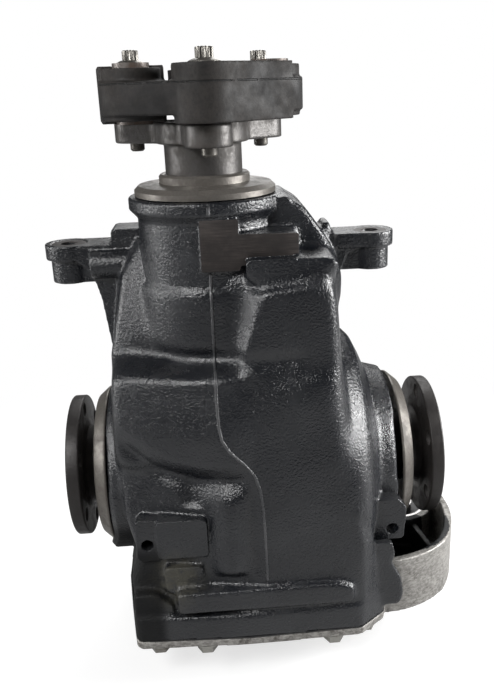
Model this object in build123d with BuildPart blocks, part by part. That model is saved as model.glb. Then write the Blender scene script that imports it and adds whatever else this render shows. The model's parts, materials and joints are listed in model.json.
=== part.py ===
from build123d import *
import os
from math import asin, atan, cos, pi, radians, sin, sqrt, tan

os.makedirs("parts", exist_ok=True)

# Rear differential, in millimetres. Z is the pinion axis and rises to the input coupling,
# X runs along the output axis, and the unit stands on the plateau of its rear cover at Z = 0.

# Layout
output_height = 140.0         # output axis above the face the unit stands on
hypoid_offset = 30.0          # output axis behind the pinion axis
joint_drop = 95.0             # joint of housing and cover below the output axis
nose_reach = 218.0            # face of the housing nose above the output axis
left_wall_reach = 84.0        # outer face of the left output boss from the pinion axis
right_wall_reach = 133.0      # outer face of the right output boss from the pinion axis
left_flange_reach = 105.9     # inner face of the left output flange from the pinion axis
right_flange_reach = 162.2    # inner face of the right output flange from the pinion axis
running_gap = 0.05            # radial clearance of races, pins and gear bores
seat_gap = 0.02               # radial clearance of parts pressed or slid into a seat
open_gap = 0.4                # clearance of neighbours that turn past each other

# Hypoid gear pair
pinion_teeth = 13
ring_teeth = 37
ring_radius = 94.0            # outer radius of the ring gear
ring_face_radius = 64.0       # inner end of the ring gear's teeth
ring_bore = 55.0              # radius of the ring gear's pilot bore
ring_back = 50.0              # back face of the ring gear from the pinion axis
pinion_addendum = 4.6         # at the large end of the teeth
ring_addendum = 2.6
tip_clearance = 1.8
backlash = 2.8
pressure_angle = 20.0

# Pinion shaft, its bearings and its seal, as heights above the output axis
head_seat = 93.0              # shoulder behind the pinion teeth
head_bearing_width = 24.0
head_bearing_bore = 20.0
head_bearing_radius = 40.0
tail_bearing_inset = 52.0     # lower face of the front bearing below the face of the nose
tail_bearing_width = 21.0
tail_bearing_bore = 17.0
tail_bearing_radius = 36.0
crush_sleeve_wall = 2.5
seal_depth = 12.0             # width of the pinion seal
pinion_seal_radius = 40.0
spline_radius = 15.0
pinion_thread_radius = 12.0
pinion_stand = 9.5            # free end of the pinion's thread above the underside of the arms

# Input flange, dust cap and flexible coupling
neck_radius = 26.5
arm_stand = 34.5              # underside of the arms above the face of the nose
arm_thickness = 14.5
arm_end_radius = 15.0
coupling_circle = 51.0        # radius of the coupling's bolt circle
coupling_angle = -85.3        # direction of the front arm about the pinion axis
dust_cap_gap = 0.8            # rim of the dust cap above the nose
dust_cap_radius = 48.9
dust_cap_height = 7.2
dust_ring_radius = 31.4
dust_ring_height = 6.5
dust_cap_sheet = 2.2
disc_height = 34.5
disc_boss_radius = 18.5       # dark bosses round the free sleeves
disc_link_radius = 20.5       # half the width of the links round the sleeves
thick_link_shift = 4.0        # the thick links start this far outside the bolts
thin_link_low = 5.0           # the thin links start this far above the disc's underside
thin_link_height = 20.0
sleeve_end_radius = 11.5
sleeve_stand = 1.6            # the free sleeves stand proud of the disc, and the bosses stand back
free_bore_radius = 6.1        # bore of the free sleeves, for the propeller shaft's bolts
coupling_bolt_radius = 5.0
coupling_head_height = 6.6
coupling_head_radius = 5.6
coupling_flange_radius = 10.2
coupling_flange_height = 2.6
coupling_stub = 6.0           # bolt ends stand below the arms
washer_radius = 12.5
washer_height = 2.2
nut_radius = 19.0
nut_height = 12.0

# Differential case and its bearings, from the pinion axis along X
case_centre = 2.0             # crossing of the cross pin and the output axis
case_radius = 52.0
case_flange_radius = 84.0
case_flange_thickness = 11.0
case_wall = 12.0              # end walls behind the side gears
journal_radius = 22.5
case_bearing_radius = 42.5
case_bearing_width = 20.0
left_seat = 51.0              # inner face of the left bearing, on the -X side
right_seat = 76.0             # inner face of the right bearing
cup_inset = 1.5               # outer races start this far inside their bearing's small end
cup_share = 0.94              # and reach this share of its width
shim_thickness = 2.4
circlip_thickness = 2.4
circlip_groove_depth = 2.5
ring_bolt_circle = 71.0
ring_bolt_count = 10
ring_bolt_radius = 5.0
ring_bolt_head = 6.4

# Bevel gears in the case
side_teeth = 16
spider_teeth = 10
bevel_module = 4.4
bevel_face = 13.0
bevel_addendum = 3.2
bevel_clearance = 1.1
bevel_backlash = 0.9
cross_pin_radius = 8.5
lock_pin_radius = 2.5
spider_washer = 0.8
side_washer = 1.0
side_hub_radius = 26.0
spider_back_radius = 16.5     # back of the spider gears, inside the side gears' teeth
stub_radius = 15.0            # splined stub of each output flange
snap_ring_width = 1.6         # snap rings on the stubs, just inside the side gears
snap_ring_depth = 1.5

# Output flanges, shields and seals
output_flange_radius = 56.0
output_flange_thickness = 10.0
output_bolt_circle = 47.0
output_hole_radius = 5.25
output_journal_radius = 24.0
output_hub_radius = 29.0
output_pilot_radius = 33.0
output_pilot_depth = 4.0
output_hole_turn = 30.0       # direction of the first hole of both flanges
shield_rim_radius = 62.0
shield_neck_radius = 55.5
left_shield_gap = 1.0         # rim of the left shield outside its boss
right_shield_gap = 5.0
shield_width = 9.5
shield_sheet = 2.0
output_seal_width = 7.0

# Housing
nose_radius = 48.0
nose_lip_radius = 53.5
nose_lip_height = 8.0
bulge_radius = 51.0
bulge_low = 121.0
bulge_high = 157.0
left_boss_radius = 64.0
right_boss_radius = 67.0
right_boss_root_radius = 71.0
drum_radius = 104.0           # round form of the casting over the ring gear
ring_room = 4.0               # room around the ring gear
case_room = 7.0               # room around the case body
drum_wall = 7.0
flange_height = 19.0          # thickness of the housing's cover flange
ear_height = 182.0            # spot faces of the ears above the output axis
ear_depth = 30.0              # ears behind the pinion axis
left_ear_reach = 103.2
right_ear_reach = 122.6
ear_radius = 17.4
ear_hole_radius = 6.0
ear_thickness = 11.0
ear_boss_radius = 14.0
ear_boss_height = 17.5
ear_spot_radius = 13.3
ear_spot_depth = 0.8
lug_hole_radius = 4.2
lug_thickness = 11.0

# Rear cover and mounting bush
gasket_thickness = 0.8
cover_flange_thickness = 6.0
cover_wall = 6.0
dome_lean = 34.4              # the dome's sides lean in this far from the flange to the plateau
lobe_height = 46.0
lobe_wall = 6.0
lobe_floor = 5.0
rib_thickness = 5.0
rib_drop = 20.0               # the lobe's ribs stay this far below its wall
eye_height = 30.0             # the mounting eye above the underside of the cover's flange
eye_x = 157.0
eye_y = 54.0
eye_radius = 28.0
bush_radius = 22.0
bush_sheet = 2.5              # sheet of the bush's outer shell
bush_sleeve_radius = 11.0
bush_bore_radius = 7.0
bush_stand = 3.0              # the inner sleeve stands proud and the rubber stands back on both sides
cover_bolt_radius = 4.0
cover_bolt_length = 22.0
cover_head_radius = 6.5
cover_head_height = 7.0
cover_washer_radius = 8.5
plug_radius = 11.0
plug_head_radius = 14.0

# Planes and axes shared by the parts
output_axis = Axis((0, hypoid_offset, output_height), (1, 0, 0))
output_section = Plane(origin=(0, hypoid_offset, output_height), x_dir=(1, 0, 0), z_dir=(0, -1, 0))
joint_z = output_height - joint_drop
tail_seat = nose_reach - tail_bearing_inset
arm_bottom = nose_reach + arm_stand
pinion_end = arm_bottom + pinion_stand
ratio_slope = pinion_teeth / ring_teeth
mesh_high = sqrt(ring_radius**2 - hypoid_offset**2)
mesh_low = sqrt(ring_face_radius**2 - hypoid_offset**2)
disc_bottom = output_height + arm_bottom + arm_thickness + 0.4
disc_top = disc_bottom + disc_height


def above(height):
    """Level plane at a height above the output axis."""
    return Plane.XY.offset(output_height + height)


def across(x):
    """Plane square to the output axis at x; its local x is +Y and its local y is +Z."""
    return Plane(origin=(x, hypoid_offset, output_height), x_dir=(0, 1, 0), z_dir=(1, 0, 0))


def turned(label, points, plane, axis):
    """Solid of revolution of a closed outline."""
    with BuildPart() as piece:
        with BuildSketch(plane):
            with BuildLine():
                Polyline(*points, close=True)
            make_face()
        revolve(axis=axis)
    piece.part.label = label
    return piece.part


def turned_on_output(label, points):
    """Solid turned about the output axis from points of x and radius."""
    return turned(label, points, output_section, output_axis)


def turned_on_pinion(label, points):
    """Solid turned about the pinion axis from points of radius and height above the output axis."""
    return turned(label, [(r, output_height + z) for r, z in points], Plane.XZ, Axis.Z)


def write(part, label):
    """Give a finished piece its name and write it."""
    part.label = label
    export_step(part, f"parts/{label}.step")


def involute(angle):
    return tan(angle) - angle


def tooth_levels(cone_angle, distance, pitch_half, addendum, dedendum):
    """Heights above the pitch cone with the half thickness of the tooth there."""
    virtual = distance * tan(cone_angle)
    base = virtual * cos(radians(pressure_angle))
    rows = []
    for height in (-dedendum, -dedendum / 2, 0, addendum / 2, addendum):
        radius = max(virtual + height, base)
        turn = pitch_half / virtual + involute(radians(pressure_angle)) - involute(
            max(0.0, pi / 2 - asin(min(1.0, base / radius))))
        rows.append((height, (virtual + height) * turn))
    return rows


def bevel_outline(teeth, cone_angle, distance, levels, axial, first_turn):
    """Outline of a straight bevel gear in the plane square to its axis at an axial distance."""
    points = []
    for tooth in range(teeth):
        middle = first_turn + 2 * pi * tooth / teeth
        left, right = [], []
        for height, half in levels:
            reach = distance * cos(cone_angle) - height * sin(cone_angle)
            radius = axial * (distance * sin(cone_angle) + height * cos(cone_angle)) / reach
            turn = asin(min(0.99, axial * half / reach / radius))
            right.append((radius * cos(middle - turn), radius * sin(middle - turn)))
            left.append((radius * cos(middle + turn), radius * sin(middle + turn)))
        points += right + left[::-1]
    return points


def bevel_body(teeth, cone_angle, distance, levels, low, high, first_turn, apex, axis_dir, x_dir):
    """Toothed frustum between two axial distances from the apex."""
    with BuildPart() as body:
        for axial in (low, high):
            start = Vector(*apex) + Vector(*axis_dir) * axial
            with BuildSketch(Plane(origin=start, x_dir=x_dir, z_dir=axis_dir)):
                with BuildLine():
                    Polyline(*bevel_outline(teeth, cone_angle, distance, levels, axial, first_turn),
                             close=True)
                make_face()
        loft(ruled=True)
    return body.part


def taper_bearing(origin, radial, axial, bore, outer, width, count):
    """Cup, cone and rollers of a taper roller bearing whose large end is at its far face."""
    tilt = radians(14.0)
    middle = (bore + outer) / 2 + 0.6
    roller = (outer - bore) * 0.2
    slant = middle / sin(tilt)
    spread = asin(roller / slant)
    apex = width * 0.52 - middle / tan(tilt)
    length = width * 0.62
    flat = Plane(origin=origin, x_dir=radial, z_dir=Vector(*radial).cross(Vector(*axial)))
    spin = Axis(origin, axial)
    gap = running_gap / slant

    def race_radius(angle, level):
        return (level - apex) * tan(angle)

    outer_angle = tilt + spread + gap
    inner_angle = tilt - spread - gap
    rib_low = apex + (slant + length / 2) * cos(inner_angle) + 0.3
    cup = turned("cup", [(race_radius(outer_angle, cup_inset), cup_inset),
                 (race_radius(outer_angle, width * cup_share), width * cup_share),
                 (outer, width * cup_share), (outer, cup_inset)], flat, spin)
    cone = turned("cone", [(bore, 0), (race_radius(inner_angle, 0), 0),
                  (race_radius(inner_angle, rib_low), rib_low),
                  (race_radius(inner_angle, rib_low) + roller * 0.7, rib_low),
                  (race_radius(inner_angle, rib_low) + roller * 0.7, width), (bore, width)], flat, spin)
    roll_dir = Vector(*radial) * sin(tilt) + Vector(*axial) * cos(tilt)
    roll_apex = Vector(*origin) + Vector(*axial) * apex
    roll_side = Vector(*radial) * cos(tilt) - Vector(*axial) * sin(tilt)
    roll_flat = Plane(origin=roll_apex, x_dir=roll_side, z_dir=roll_side.cross(roll_dir))
    near, far = slant - length / 2, slant + length / 2
    one = turned("roller", [(0, near), (near * tan(spread), near), (far * tan(spread), far), (0, far)],
                 roll_flat, Axis(roll_apex, roll_dir))
    with BuildPart() as rollers:
        for step in range(count):
            add(one.rotate(spin, 360 * step / count))
    return cup, cone, rollers.part


def hexagon_bolt(plane, shank_radius, length, head_radius, head_height, washer):
    """Bolt whose head stands on the plane and whose shank goes down from it."""
    with BuildPart() as bolt:
        with BuildSketch(plane):
            Circle(washer)
        extrude(amount=head_height * 0.25)
        with BuildSketch(plane):
            RegularPolygon(head_radius, 6, major_radius=False)
        extrude(amount=head_height)
        with BuildSketch(plane):
            Circle(shank_radius)
        extrude(amount=-length)
    return bolt.part


# Pinion shaft with its teeth cut on a cone whose tip lies level with the output axis
pinion_cone = atan(ratio_slope)
mesh_distance = mesh_high / cos(pinion_cone)
mesh_pitch = 2 * pi * ratio_slope * mesh_high / pinion_teeth
tooth_half = (mesh_pitch - backlash) / 4
pinion_levels = tooth_levels(pinion_cone, mesh_distance, tooth_half,
                             pinion_addendum, ring_addendum + tip_clearance)
pinion_root = ratio_slope * mesh_high - ring_addendum - tip_clearance
with BuildPart() as pinion_shaft:
    add(bevel_body(pinion_teeth, pinion_cone, mesh_distance, pinion_levels, mesh_low, mesh_high,
                   0.0, (0, 0, output_height), (0, 0, 1), (1, 0, 0)))
    add(turned_on_pinion("shank", [
        (0, mesh_high - 2), (pinion_root - 1, mesh_high - 2), (pinion_root - 1, head_seat),
        (head_bearing_bore, head_seat), (head_bearing_bore, head_seat + head_bearing_width),
        (tail_bearing_bore, head_seat + head_bearing_width + 2),
        (tail_bearing_bore, tail_seat + tail_bearing_width),
        (spline_radius, tail_seat + tail_bearing_width), (spline_radius, arm_bottom - 6),
        (pinion_thread_radius, arm_bottom - 6), (pinion_thread_radius, pinion_end - 1.5),
        (pinion_thread_radius - 1.5, pinion_end), (0, pinion_end)]))
write(pinion_shaft.part, "pinion_shaft")

# Taper roller bearings of the pinion, set back to back against each other
head_cup, head_cone, head_rollers = taper_bearing(
    (0, 0, output_height + head_seat + head_bearing_width), (1, 0, 0), (0, 0, -1),
    head_bearing_bore + seat_gap, head_bearing_radius, head_bearing_width, 14)
tail_cup, tail_cone, tail_rollers = taper_bearing(
    (0, 0, output_height + tail_seat), (1, 0, 0), (0, 0, 1),
    tail_bearing_bore + seat_gap, tail_bearing_radius, tail_bearing_width, 13)
write(head_cup, "pinion_head_bearing_cup")
write(head_cone, "pinion_head_bearing_cone")
write(head_rollers, "pinion_head_bearing_rollers")
write(tail_cup, "pinion_front_bearing_cup")
write(tail_cone, "pinion_front_bearing_cone")
write(tail_rollers, "pinion_front_bearing_rollers")

# Crush sleeve between the two inner races
sleeve_low = head_seat + head_bearing_width
sleeve_mid = (sleeve_low + tail_seat) / 2
sleeve_bore = head_bearing_bore + 0.6
write(turned_on_pinion("sleeve", [
    (sleeve_bore, sleeve_low), (sleeve_bore + crush_sleeve_wall, sleeve_low),
    (sleeve_bore + crush_sleeve_wall, sleeve_mid - 9), (sleeve_bore + crush_sleeve_wall + 3, sleeve_mid),
    (sleeve_bore + crush_sleeve_wall, sleeve_mid + 9), (sleeve_bore + crush_sleeve_wall, tail_seat),
    (sleeve_bore, tail_seat), (sleeve_bore, sleeve_mid + 9), (sleeve_bore + 3, sleeve_mid),
    (sleeve_bore, sleeve_mid - 9)]), "crush_sleeve")

# Pinion oil seal in the nose, with its lip on the neck of the input flange
seal_low = nose_reach - 2 - seal_depth
seal_lip = neck_radius + open_gap
write(turned_on_pinion("seal", [
    (pinion_seal_radius - seat_gap, seal_low), (pinion_seal_radius - seat_gap, seal_low + seal_depth),
    (seal_lip + 4, seal_low + seal_depth), (seal_lip + 1.5, seal_low + seal_depth - 1),
    (seal_lip, seal_low + 6), (seal_lip + 2, seal_low + 1.5), (seal_lip + 4.5, seal_low + 1.5),
    (seal_lip + 4.5, seal_low + seal_depth - 4), (pinion_seal_radius - 3, seal_low + seal_depth - 4),
    (pinion_seal_radius - 3, seal_low)]), "pinion_oil_seal")

# Input flange: a splined hub with three arms
arm_top = arm_bottom + arm_thickness
bolt_turns = [coupling_angle, coupling_angle + 120, coupling_angle + 240]
with BuildPart() as input_flange:
    with BuildSketch(Plane.XZ):
        with BuildLine():
            Polyline((spline_radius + seat_gap, output_height + tail_seat + tail_bearing_width),
                     (neck_radius - 2, output_height + tail_seat + tail_bearing_width),
                     (neck_radius, output_height + tail_seat + tail_bearing_width + 3),
                     (neck_radius, output_height + arm_bottom + 1),
                     (spline_radius + seat_gap, output_height + arm_bottom + 1), close=True)
        make_face()
    revolve(axis=Axis.Z)
    with BuildSketch(above(arm_bottom)) as arm_plate:
        Circle(neck_radius + 5)
        for turn in bolt_turns:
            with Locations(Rotation(0, 0, turn)):
                with Locations((coupling_circle / 2, 0)):
                    Rectangle(coupling_circle, 2 * arm_end_radius)
                with Locations((coupling_circle, 0)):
                    Circle(arm_end_radius)
        fillet(arm_plate.vertices().filter_by(
            lambda v: Vector(v.X, v.Y, 0).length < coupling_circle - 5), radius=8)
    extrude(amount=arm_thickness)
    with BuildSketch(above(arm_bottom + 4)):
        Circle(nut_radius + 3)
    extrude(amount=arm_thickness, mode=Mode.SUBTRACT)
    with BuildSketch(above(arm_bottom - 1)):
        Circle(spline_radius + seat_gap)
    extrude(amount=arm_thickness, mode=Mode.SUBTRACT)
    with BuildSketch(above(arm_bottom)):
        with PolarLocations(coupling_circle, 3, start_angle=coupling_angle):
            Circle(coupling_bolt_radius + seat_gap)
    extrude(amount=arm_thickness, mode=Mode.SUBTRACT)
    chamfer(input_flange.faces().sort_by(Axis.Z)[-1].outer_wire().edges(), length=1.2)
write(input_flange.part, "input_flange")

# Pinion nut, sunk in the flange
with BuildPart() as pinion_nut:
    with BuildSketch(above(arm_bottom + 4)):
        RegularPolygon(nut_radius, 12, major_radius=True)
        Circle(pinion_thread_radius + seat_gap, mode=Mode.SUBTRACT)
    extrude(amount=nut_height * 0.7)
    with BuildSketch(above(arm_bottom + 4 + nut_height * 0.7)):
        Circle(nut_radius - 4)
        Circle(pinion_thread_radius + seat_gap, mode=Mode.SUBTRACT)
    extrude(amount=nut_height * 0.3 - 0.5)
write(pinion_nut.part, "pinion_nut")

# Dust cap pressed on the neck: a rolled ring over a dished rim that covers the nose
cap_low = nose_reach + dust_cap_gap
cap_top = cap_low + dust_cap_height
write(turned_on_pinion("cap", [
    (neck_radius + seat_gap, cap_top - dust_cap_sheet), (dust_cap_radius - 5, cap_top - dust_cap_sheet - 1),
    (dust_cap_radius - 3, cap_low), (dust_cap_radius, cap_low), (dust_cap_radius, cap_top - 3.5),
    (dust_cap_radius - 3, cap_top - 0.6), (dust_ring_radius, cap_top + 0.4),
    (dust_ring_radius, cap_top + dust_ring_height - 1.5),
    (dust_ring_radius - 1.5, cap_top + dust_ring_height), (neck_radius + seat_gap, cap_top + dust_ring_height)
    ]), "dust_cap")

# Flexible coupling: thick links from the bolted sleeves to the free ones, thin links back, and a boss
# round each free sleeve
def coupling_spot(index, radius):
    """Centre of one of the six sleeves, moved to a radius; the bolted ones have even numbers."""
    turn = radians(coupling_angle + 60 * index)
    return (radius * cos(turn), radius * sin(turn))


with BuildPart() as flex_disc:
    for index in (0, 2, 4):
        bolted, free = coupling_spot(index, coupling_circle + thick_link_shift), coupling_spot(
            index + 1, coupling_circle)
        with BuildSketch(Plane.XY.offset(disc_bottom)):
            with BuildLine():
                Line(bolted, free)
            trace(line_width=2 * disc_link_radius)
            with Locations(bolted):
                Circle(disc_link_radius)
        extrude(amount=disc_height)
        with BuildSketch(Plane.XY.offset(disc_bottom + thin_link_low)):
            with BuildLine():
                Line(free, coupling_spot(index + 2, coupling_circle))
            trace(line_width=2 * disc_link_radius)
            with Locations(free):
                Circle(disc_link_radius)
        extrude(amount=thin_link_height)
        with BuildSketch(Plane.XY.offset(disc_bottom + sleeve_stand)):
            with Locations(free):
                Circle(disc_boss_radius)
        extrude(amount=disc_height - 2 * sleeve_stand)
    with BuildSketch(Plane.XY.offset(disc_bottom)):
        with PolarLocations(coupling_circle, 6, start_angle=coupling_angle):
            Circle(sleeve_end_radius + seat_gap)
    extrude(amount=disc_height, mode=Mode.SUBTRACT)
write(flex_disc.part, "flex_disc")

# Steel sleeves of the coupling: three carry the flange's bolts, three are free for the shaft's
sleeve_low_z = disc_bottom - 0.4
sleeve_high_z = disc_top
with BuildPart() as flex_disc_sleeves:
    for index in range(6):
        bolted = index % 2 == 0
        with BuildSketch(Plane.XY.offset(sleeve_low_z)):
            with Locations(coupling_spot(index, coupling_circle)):
                Circle(sleeve_end_radius)
                Circle(coupling_bolt_radius + seat_gap if bolted else free_bore_radius, mode=Mode.SUBTRACT)
        extrude(amount=sleeve_high_z - sleeve_low_z + (0 if bolted else sleeve_stand))
write(flex_disc_sleeves.part, "flex_disc_sleeves")

# Washer under the left bolt, and the bolts with their splined heads
with BuildPart() as coupling_washers:
    with BuildSketch(Plane.XY.offset(sleeve_high_z)):
        with Locations(coupling_spot(4, coupling_circle)):
            Circle(washer_radius)
            Circle(coupling_bolt_radius + seat_gap, mode=Mode.SUBTRACT)
    extrude(amount=washer_height)
write(coupling_washers.part, "coupling_washers")

with BuildPart() as coupling_bolts:
    for index in (0, 2, 4):
        spot = coupling_spot(index, coupling_circle)
        seat = sleeve_high_z + (washer_height if index == 4 else 0)
        with BuildSketch(Plane.XY.offset(output_height + arm_bottom - coupling_stub)):
            with Locations(spot):
                Circle(coupling_bolt_radius)
        extrude(amount=seat - output_height - arm_bottom + coupling_stub)
        with BuildSketch(Plane.XY.offset(seat)):
            with Locations(spot):
                Circle(coupling_flange_radius)
        extrude(amount=coupling_flange_height, taper=35)
        with BuildSketch(Plane.XY.offset(seat)):
            with Locations(spot):
                RegularPolygon(coupling_head_radius, 12)
        extrude(amount=coupling_flange_height + coupling_head_height)
write(coupling_bolts.part, "coupling_bolts")

# Ring gear: teeth on lines that pass the output axis at the hypoid offset
gap_half = (mesh_pitch + backlash) / 4
ring_dedendum = pinion_addendum + tip_clearance
slope = tan(radians(pressure_angle))
ring_low_x = ratio_slope * mesh_low
ring_high_x = ratio_slope * mesh_high
low_share = mesh_low / mesh_high


def ring_gap_outline(height):
    """Outline of one tooth gap in the level plane at a height above the output axis."""
    share = height / mesh_high
    pitch_x = ratio_slope * height
    top = ring_addendum + 3.0
    return [(pitch_x + ring_dedendum * share, -(gap_half - ring_dedendum * slope) * share),
            (pitch_x - top * share, -(gap_half + top * slope) * share),
            (pitch_x - top * share, (gap_half + top * slope) * share),
            (pitch_x + ring_dedendum * share, (gap_half - ring_dedendum * slope) * share)]


with BuildPart() as ring_gap:
    for height in (mesh_low - 6, mesh_high + 10):
        with BuildSketch(above(height)):
            with BuildLine():
                Polyline(*ring_gap_outline(height), close=True)
            make_face()
    loft(ruled=True)
shoulder_x = ring_low_x + ring_dedendum * low_share + 1.5
with BuildPart() as ring_gear:
    add(turned_on_output("blank", [
        (shoulder_x, ring_bore + seat_gap), (shoulder_x, ring_face_radius - 2.5),
        (ring_low_x - ring_addendum * low_share, ring_face_radius),
        (ring_high_x - ring_addendum, ring_radius), (ring_back - 2, ring_radius),
        (ring_back, ring_radius - 2), (ring_back, ring_bore + seat_gap)]))
    add([ring_gap.part.rotate(output_axis, 360 * step / ring_teeth) for step in range(ring_teeth)],
        mode=Mode.SUBTRACT)
    with BuildSketch(across(ring_back)):
        with PolarLocations(ring_bolt_circle, ring_bolt_count):
            Circle(ring_bolt_radius + seat_gap)
    extrude(amount=-15, mode=Mode.SUBTRACT)
write(ring_gear.part, "ring_gear")

with BuildPart() as ring_gear_bolts:
    with BuildSketch(across(ring_back + case_flange_thickness)):
        with PolarLocations(ring_bolt_circle, ring_bolt_count):
            RegularPolygon(8, 6, major_radius=False)
    extrude(amount=ring_bolt_head)
    with BuildSketch(across(ring_back + case_flange_thickness)):
        with PolarLocations(ring_bolt_circle, ring_bolt_count):
            Circle(ring_bolt_radius)
    extrude(amount=-case_flange_thickness - 13)
write(ring_gear_bolts.part, "ring_gear_bolts")

# Differential case: round body with two windows, a flange for the ring gear and two journals
side_pitch_radius = bevel_module * side_teeth / 2
spider_pitch_radius = bevel_module * spider_teeth / 2
bevel_distance = sqrt(side_pitch_radius**2 + spider_pitch_radius**2)
spider_sphere = bevel_distance + 0.9
cavity_sphere = spider_sphere + spider_washer + 2 * running_gap
side_back = spider_pitch_radius + 7.0
wall_face = side_back + side_washer + 2 * running_gap
left_wall_in = case_centre - wall_face
right_wall_in = case_centre + wall_face
case_flange_back = ring_back + case_flange_thickness
left_end = -left_seat - case_bearing_width
right_end = right_seat + case_bearing_width
stub_room = stub_radius + 1.0
with BuildPart() as differential_case:
    add(turned_on_output("body", [
        (left_end, stub_room), (left_end, journal_radius), (-left_seat, journal_radius),
        (-left_seat, journal_radius + 6), (left_wall_in - case_wall, case_radius - 12),
        (left_wall_in - case_wall + 8, case_radius), (shoulder_x + 4, case_radius),
        (shoulder_x + 4, ring_bore), (ring_back, ring_bore), (ring_back, case_flange_radius),
        (case_flange_back, case_flange_radius), (case_flange_back, ring_bolt_circle - 12),
        (case_flange_back + 4, case_radius - 6), (right_seat, journal_radius + 6),
        (right_seat, journal_radius), (right_end, journal_radius), (right_end, stub_room)]))
    with BuildSketch(output_section):
        with BuildLine():
            reach = sqrt(cavity_sphere**2 - wall_face**2)
            Polyline((left_wall_in, 0), (left_wall_in, reach))
            ThreePointArc((left_wall_in, reach), (case_centre, cavity_sphere), (right_wall_in, reach))
            Polyline((right_wall_in, reach), (right_wall_in, 0), (left_wall_in, 0))
        make_face()
    revolve(axis=output_axis, mode=Mode.SUBTRACT)
    with BuildSketch(Plane(origin=(case_centre, hypoid_offset, output_height), x_dir=(1, 0, 0),
                           z_dir=(0, -1, 0))):
        RectangleRounded(44, 54, 10)
    extrude(amount=case_radius + 4, both=True, mode=Mode.SUBTRACT)
    with BuildSketch(Plane(origin=(case_centre, hypoid_offset, output_height))):
        Circle(cross_pin_radius + seat_gap)
    extrude(amount=case_radius + 4, both=True, mode=Mode.SUBTRACT)
    with BuildSketch(across(ring_back)):
        with PolarLocations(ring_bolt_circle, ring_bolt_count):
            Circle(ring_bolt_radius + seat_gap)
    extrude(amount=case_flange_thickness, mode=Mode.SUBTRACT)
    with BuildSketch(Plane(origin=(left_wall_in - case_wall, hypoid_offset, output_height), x_dir=(0, 1, 0),
                           z_dir=(1, 0, 0))):
        with Locations((0, case_radius - 4.5)):
            Circle(lock_pin_radius + seat_gap)
    extrude(amount=case_centre + 14 - left_wall_in + case_wall, mode=Mode.SUBTRACT)
write(differential_case.part, "differential_case")

# Cross pin through the case, held by a lock pin across one end
with BuildPart() as cross_pin:
    with BuildSketch(Plane(origin=(case_centre, hypoid_offset, output_height))):
        Circle(cross_pin_radius)
    extrude(amount=case_radius - 0.5, both=True)
    chamfer(cross_pin.edges().filter_by(GeomType.CIRCLE), length=0.8)
    with BuildSketch(across(case_centre - 20)):
        with Locations((0, case_radius - 4.5)):
            Circle(lock_pin_radius + seat_gap)
    extrude(amount=40, mode=Mode.SUBTRACT)
write(cross_pin.part, "cross_pin")

with BuildPart() as cross_pin_lock:
    with BuildSketch(across(case_centre - 26)):
        with Locations((0, case_radius - 4.5)):
            Circle(lock_pin_radius)
            Circle(lock_pin_radius - 1, mode=Mode.SUBTRACT)
    extrude(amount=39)
write(cross_pin_lock.part, "cross_pin_lock")

# Side gears and spider gears share one apex, the crossing of their axes
side_cone = atan(side_teeth / spider_teeth)
spider_cone = atan(spider_teeth / side_teeth)
bevel_half = (pi * bevel_module / 2 - bevel_backlash) / 2
side_levels = tooth_levels(side_cone, bevel_distance, bevel_half,
                           bevel_addendum, bevel_addendum + bevel_clearance)
spider_levels = tooth_levels(spider_cone, bevel_distance, bevel_half,
                             bevel_addendum, bevel_addendum + bevel_clearance)
inner_share = 1 - bevel_face / bevel_distance


def side_gear(direction):
    """Side gear on the output axis; direction is +1 for the right one and -1 for the left one."""
    apex = (case_centre, hypoid_offset, output_height)
    with BuildPart() as gear:
        add(bevel_body(side_teeth, side_cone, bevel_distance, side_levels,
                       spider_pitch_radius * inner_share, spider_pitch_radius + 2.5,
                       pi / side_teeth, apex, (direction, 0, 0), (0, 0, 1)))
        add(Solid.make_sphere(spider_sphere, Plane(origin=apex)), mode=Mode.INTERSECT)
        with BuildSketch(Plane(origin=Vector(*apex) + Vector(direction * spider_pitch_radius, 0, 0),
                               x_dir=(0, 1, 0), z_dir=(direction, 0, 0))):
            Circle(side_hub_radius)
        extrude(amount=side_back - spider_pitch_radius)
        with BuildSketch(Plane(origin=apex, x_dir=(0, 1, 0), z_dir=(direction, 0, 0))):
            Circle(stub_radius + seat_gap)
        extrude(amount=side_back + 1, mode=Mode.SUBTRACT)
    return gear.part


def spider_gear(direction):
    """Spider gear on the cross pin; direction is +1 for the upper one and -1 for the lower one."""
    apex = (case_centre, hypoid_offset, output_height)
    with BuildPart() as gear:
        add(bevel_body(spider_teeth, spider_cone, bevel_distance, spider_levels,
                       side_pitch_radius * inner_share, side_pitch_radius + 2.0,
                       0.0, apex, (0, 0, direction), (1, 0, 0)))
        with BuildSketch(Plane(origin=Vector(*apex) + Vector(0, 0, direction * side_pitch_radius),
                               x_dir=(1, 0, 0), z_dir=(0, 0, direction))):
            Circle(spider_back_radius)
        extrude(amount=spider_sphere - side_pitch_radius + 2)
        add(Solid.make_sphere(spider_sphere, Plane(origin=apex)), mode=Mode.INTERSECT)
        with BuildSketch(Plane(origin=apex, x_dir=(1, 0, 0), z_dir=(0, 0, direction))):
            Circle(cross_pin_radius + running_gap)
        extrude(amount=spider_sphere + 1, mode=Mode.SUBTRACT)
    return gear.part


write(side_gear(-1), "left_side_gear")
write(side_gear(1), "right_side_gear")
write(spider_gear(1), "upper_spider_gear")
write(spider_gear(-1), "lower_spider_gear")

# Thrust washers: flat ones behind the side gears, dished ones behind the spider gears
with BuildPart() as side_gear_washers:
    for direction in (-1, 1):
        with BuildSketch(Plane(origin=(case_centre + direction * (side_back + running_gap), hypoid_offset,
                                       output_height), x_dir=(0, 1, 0), z_dir=(direction, 0, 0))):
            Circle(side_hub_radius)
            Circle(stub_radius + 1, mode=Mode.SUBTRACT)
        extrude(amount=side_washer)
write(side_gear_washers.part, "side_gear_washers")

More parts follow.
